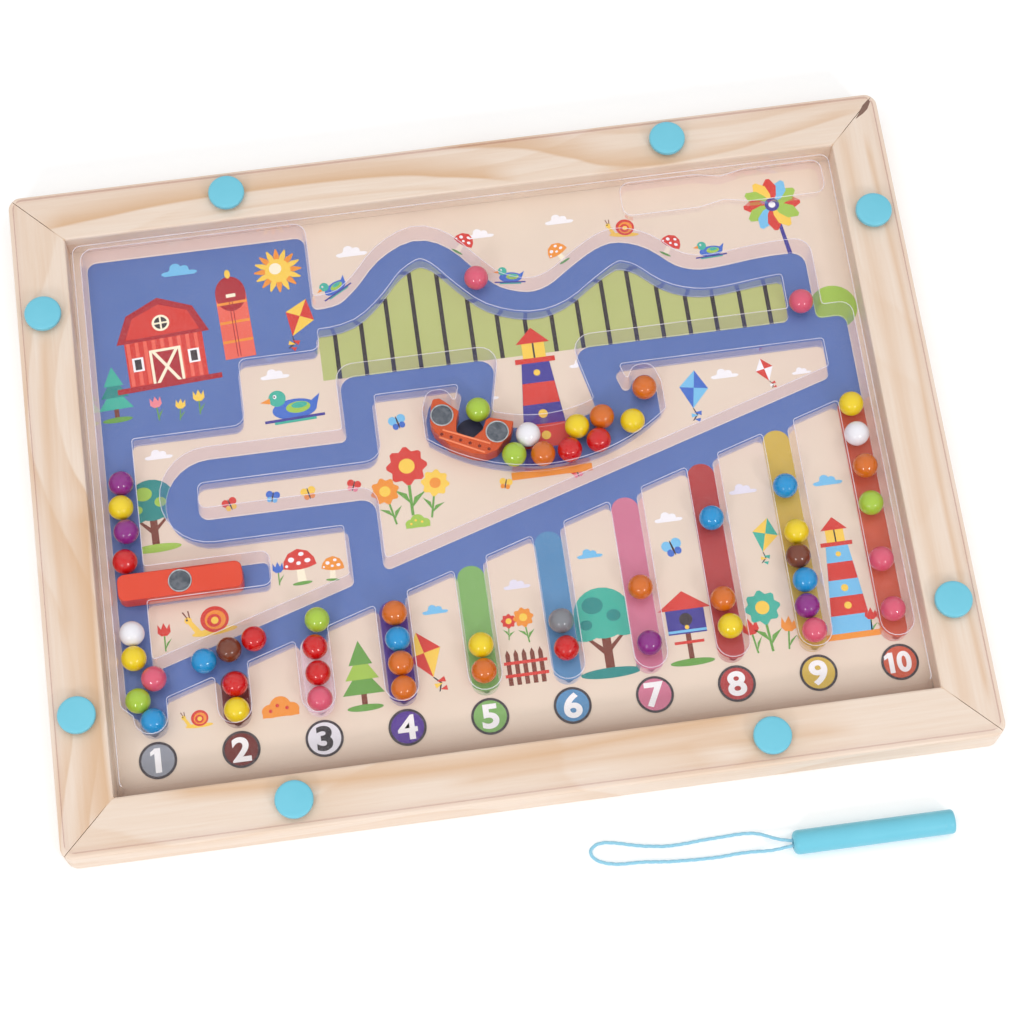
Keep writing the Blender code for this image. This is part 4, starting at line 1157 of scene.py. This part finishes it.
class BOARD_OT_cord(bpy.types.Operator):
    """Lays the wand's twisted cord along its route"""
    bl_idname = "maze_board.cord"
    bl_label = "Wand cord"

    def execute(self, context):
        look = context.scene.maze_board
        line = fine_line([Vector(spot) for spot in cord_route], 6)
        made = twisted_cord("wand_cord_twist", line, 0.0007, 12, 0.0034)
        dress(made, cord_finish("cord_fibre", look.cord_pale), "wand", ["wand_cord"])
        return {"FINISHED"}


def fine_line(knots, parts):
    """Smooth line through the knots."""
    line = []
    for index in range(len(knots) - 1):
        a, b, c, d = [knots[max(0, min(len(knots) - 1, index + k))] for k in (-1, 0, 1, 2)]
        for step in range(parts):
            t = step / parts
            line.append(0.5 * (2 * b + (c - a) * t + (2 * a - 5 * b + 4 * c - d) * t * t
                               + (3 * b - a - 3 * c + d) * t * t * t))
    return line + [knots[-1]]


def twisted_cord(name, line, radius, sides, pitch):
    """Cord of three strands that turn once round it in three times the pitch."""
    verts, run = [], 0.0
    for index, spot in enumerate(line):
        ahead = (line[min(index + 1, len(line) - 1)] - line[max(index - 1, 0)]).normalized()
        side = ahead.cross(Vector((0, 0, 1))).normalized()
        over = side.cross(ahead).normalized()
        if index:
            run += (spot - line[index - 1]).length
        for step in range(sides):
            turn = 2 * math.pi * step / sides
            lobe = radius * (0.90 + 0.10 * math.cos(3 * (turn - 2 * math.pi * run / (pitch * 3))))
            verts.append(spot + side * (lobe * math.cos(turn)) + over * (lobe * math.sin(turn)))
    last = (len(line) - 1) * sides
    faces = [(a + step, a + (step + 1) % sides, a + (step + 1) % sides + sides, a + step + sides)
             for a in range(0, last, sides) for step in range(sides)]
    made = from_lists(name, verts, faces=[*faces, range(sides)[::-1], range(last, last + sides)])
    face_outwards(made)
    smooth(made, 60)
    return made


class BOARD_OT_stage(bpy.types.Operator):
    """Sets the floor, the soft lamps, the world and the camera"""
    bl_idname = "maze_board.stage"
    bl_label = "Stage"

    def execute(self, context):
        bpy.ops.mesh.primitive_plane_add(size=6, location=(0, 0, -0.00005))
        floor = context.object
        floor.name = "stage_floor"
        paper, _, shader, _ = blank("floor_paper")
        wire(shader, Base_Color=(0.98, 0.98, 0.98), Roughness=0.9, Emission_Color=(1, 1, 1),
             Emission_Strength=0.05)
        floor.data.materials.append(paper)
        for name, place, size, power in (("key_overhead", (-0.10, -0.20, 1.9), 2.4, 20.5),
                                         ("front_left", (-0.95, -1.55, 1.15), 0.28, 7),
                                         ("front_right", (0.95, -1.55, 1.15), 0.28, 7)):
            bpy.ops.object.light_add(type="AREA", location=place)
            lamp = context.object
            lamp.name = name
            lamp.data.size, lamp.data.energy = size, power
            lamp.rotation_euler = Vector(place).to_track_quat("Z", "Y").to_euler()
            lamp.visible_glossy = name != "key_overhead"
        world = bpy.data.worlds.new("studio")
        context.scene.world = world
        world.use_nodes = True
        path = node(world.node_tree, "LightPath").outputs
        seen = maths("MAXIMUM", path["Is Camera Ray"], path["Is Glossy Ray"])
        seen = maths("MAXIMUM", seen, path["Is Transmission Ray"])
        wire(world.node_tree.nodes["Background"], Color=(1, 1, 1), Strength=plus(times(seen, 0.40), 0.60))
        bpy.ops.object.camera_add(location=(-0.0432, -0.3818, 1.0079),
                                  rotation=(math.radians(19.9756), 0, math.radians(-7.8347)))
        camera = context.object
        camera.name = "view_camera"
        camera.data.sensor_width, camera.data.lens = 36, 92.24
        context.scene.camera = camera
        context.scene.view_settings.view_transform = "Standard"
        context.scene.cycles.transparent_max_bounces = 32
        return {"FINISHED"}


class BOARD_PT_panel(bpy.types.Panel):
    """Steps that dress the board"""
    bl_label = "Maze board"
    bl_idname = "BOARD_PT_panel"
    bl_space_type = "VIEW_3D"
    bl_region_type = "UI"
    bl_category = "Maze board"

    def draw(self, context):
        for step in steps:
            self.layout.operator(step.bl_idname)
        for look in (context.scene.maze_board, context.scene.maze_print, context.scene.maze_balls):
            box = self.layout.box()
            for key in look.__annotations__:
                box.prop(look, key)


steps = (BOARD_OT_stage, BOARD_OT_cord, BOARD_OT_frame, BOARD_OT_card, BOARD_OT_tray, BOARD_OT_cover,
         BOARD_OT_caps, BOARD_OT_gate, BOARD_OT_boat, BOARD_OT_balls, BOARD_OT_wand)
classes = (BoardLook, PrintLook, BallLook, *steps, BOARD_PT_panel)


def register():
    for one in classes:
        bpy.utils.register_class(one)
    bpy.types.Scene.maze_board = PointerProperty(type=BoardLook)
    bpy.types.Scene.maze_print = PointerProperty(type=PrintLook)
    bpy.types.Scene.maze_balls = PointerProperty(type=BallLook)


def unregister():
    del bpy.types.Scene.maze_balls, bpy.types.Scene.maze_print, bpy.types.Scene.maze_board
    for one in reversed(classes):
        bpy.utils.unregister_class(one)


def main():
    register()
    ops = bpy.ops.maze_board
    for step in (ops.stage, ops.cord, ops.frame, ops.card, ops.tray, ops.cover, ops.caps, ops.gate, ops.boat,
                 ops.balls, ops.wand):
        step()


if __name__ == "__main__":
    main()
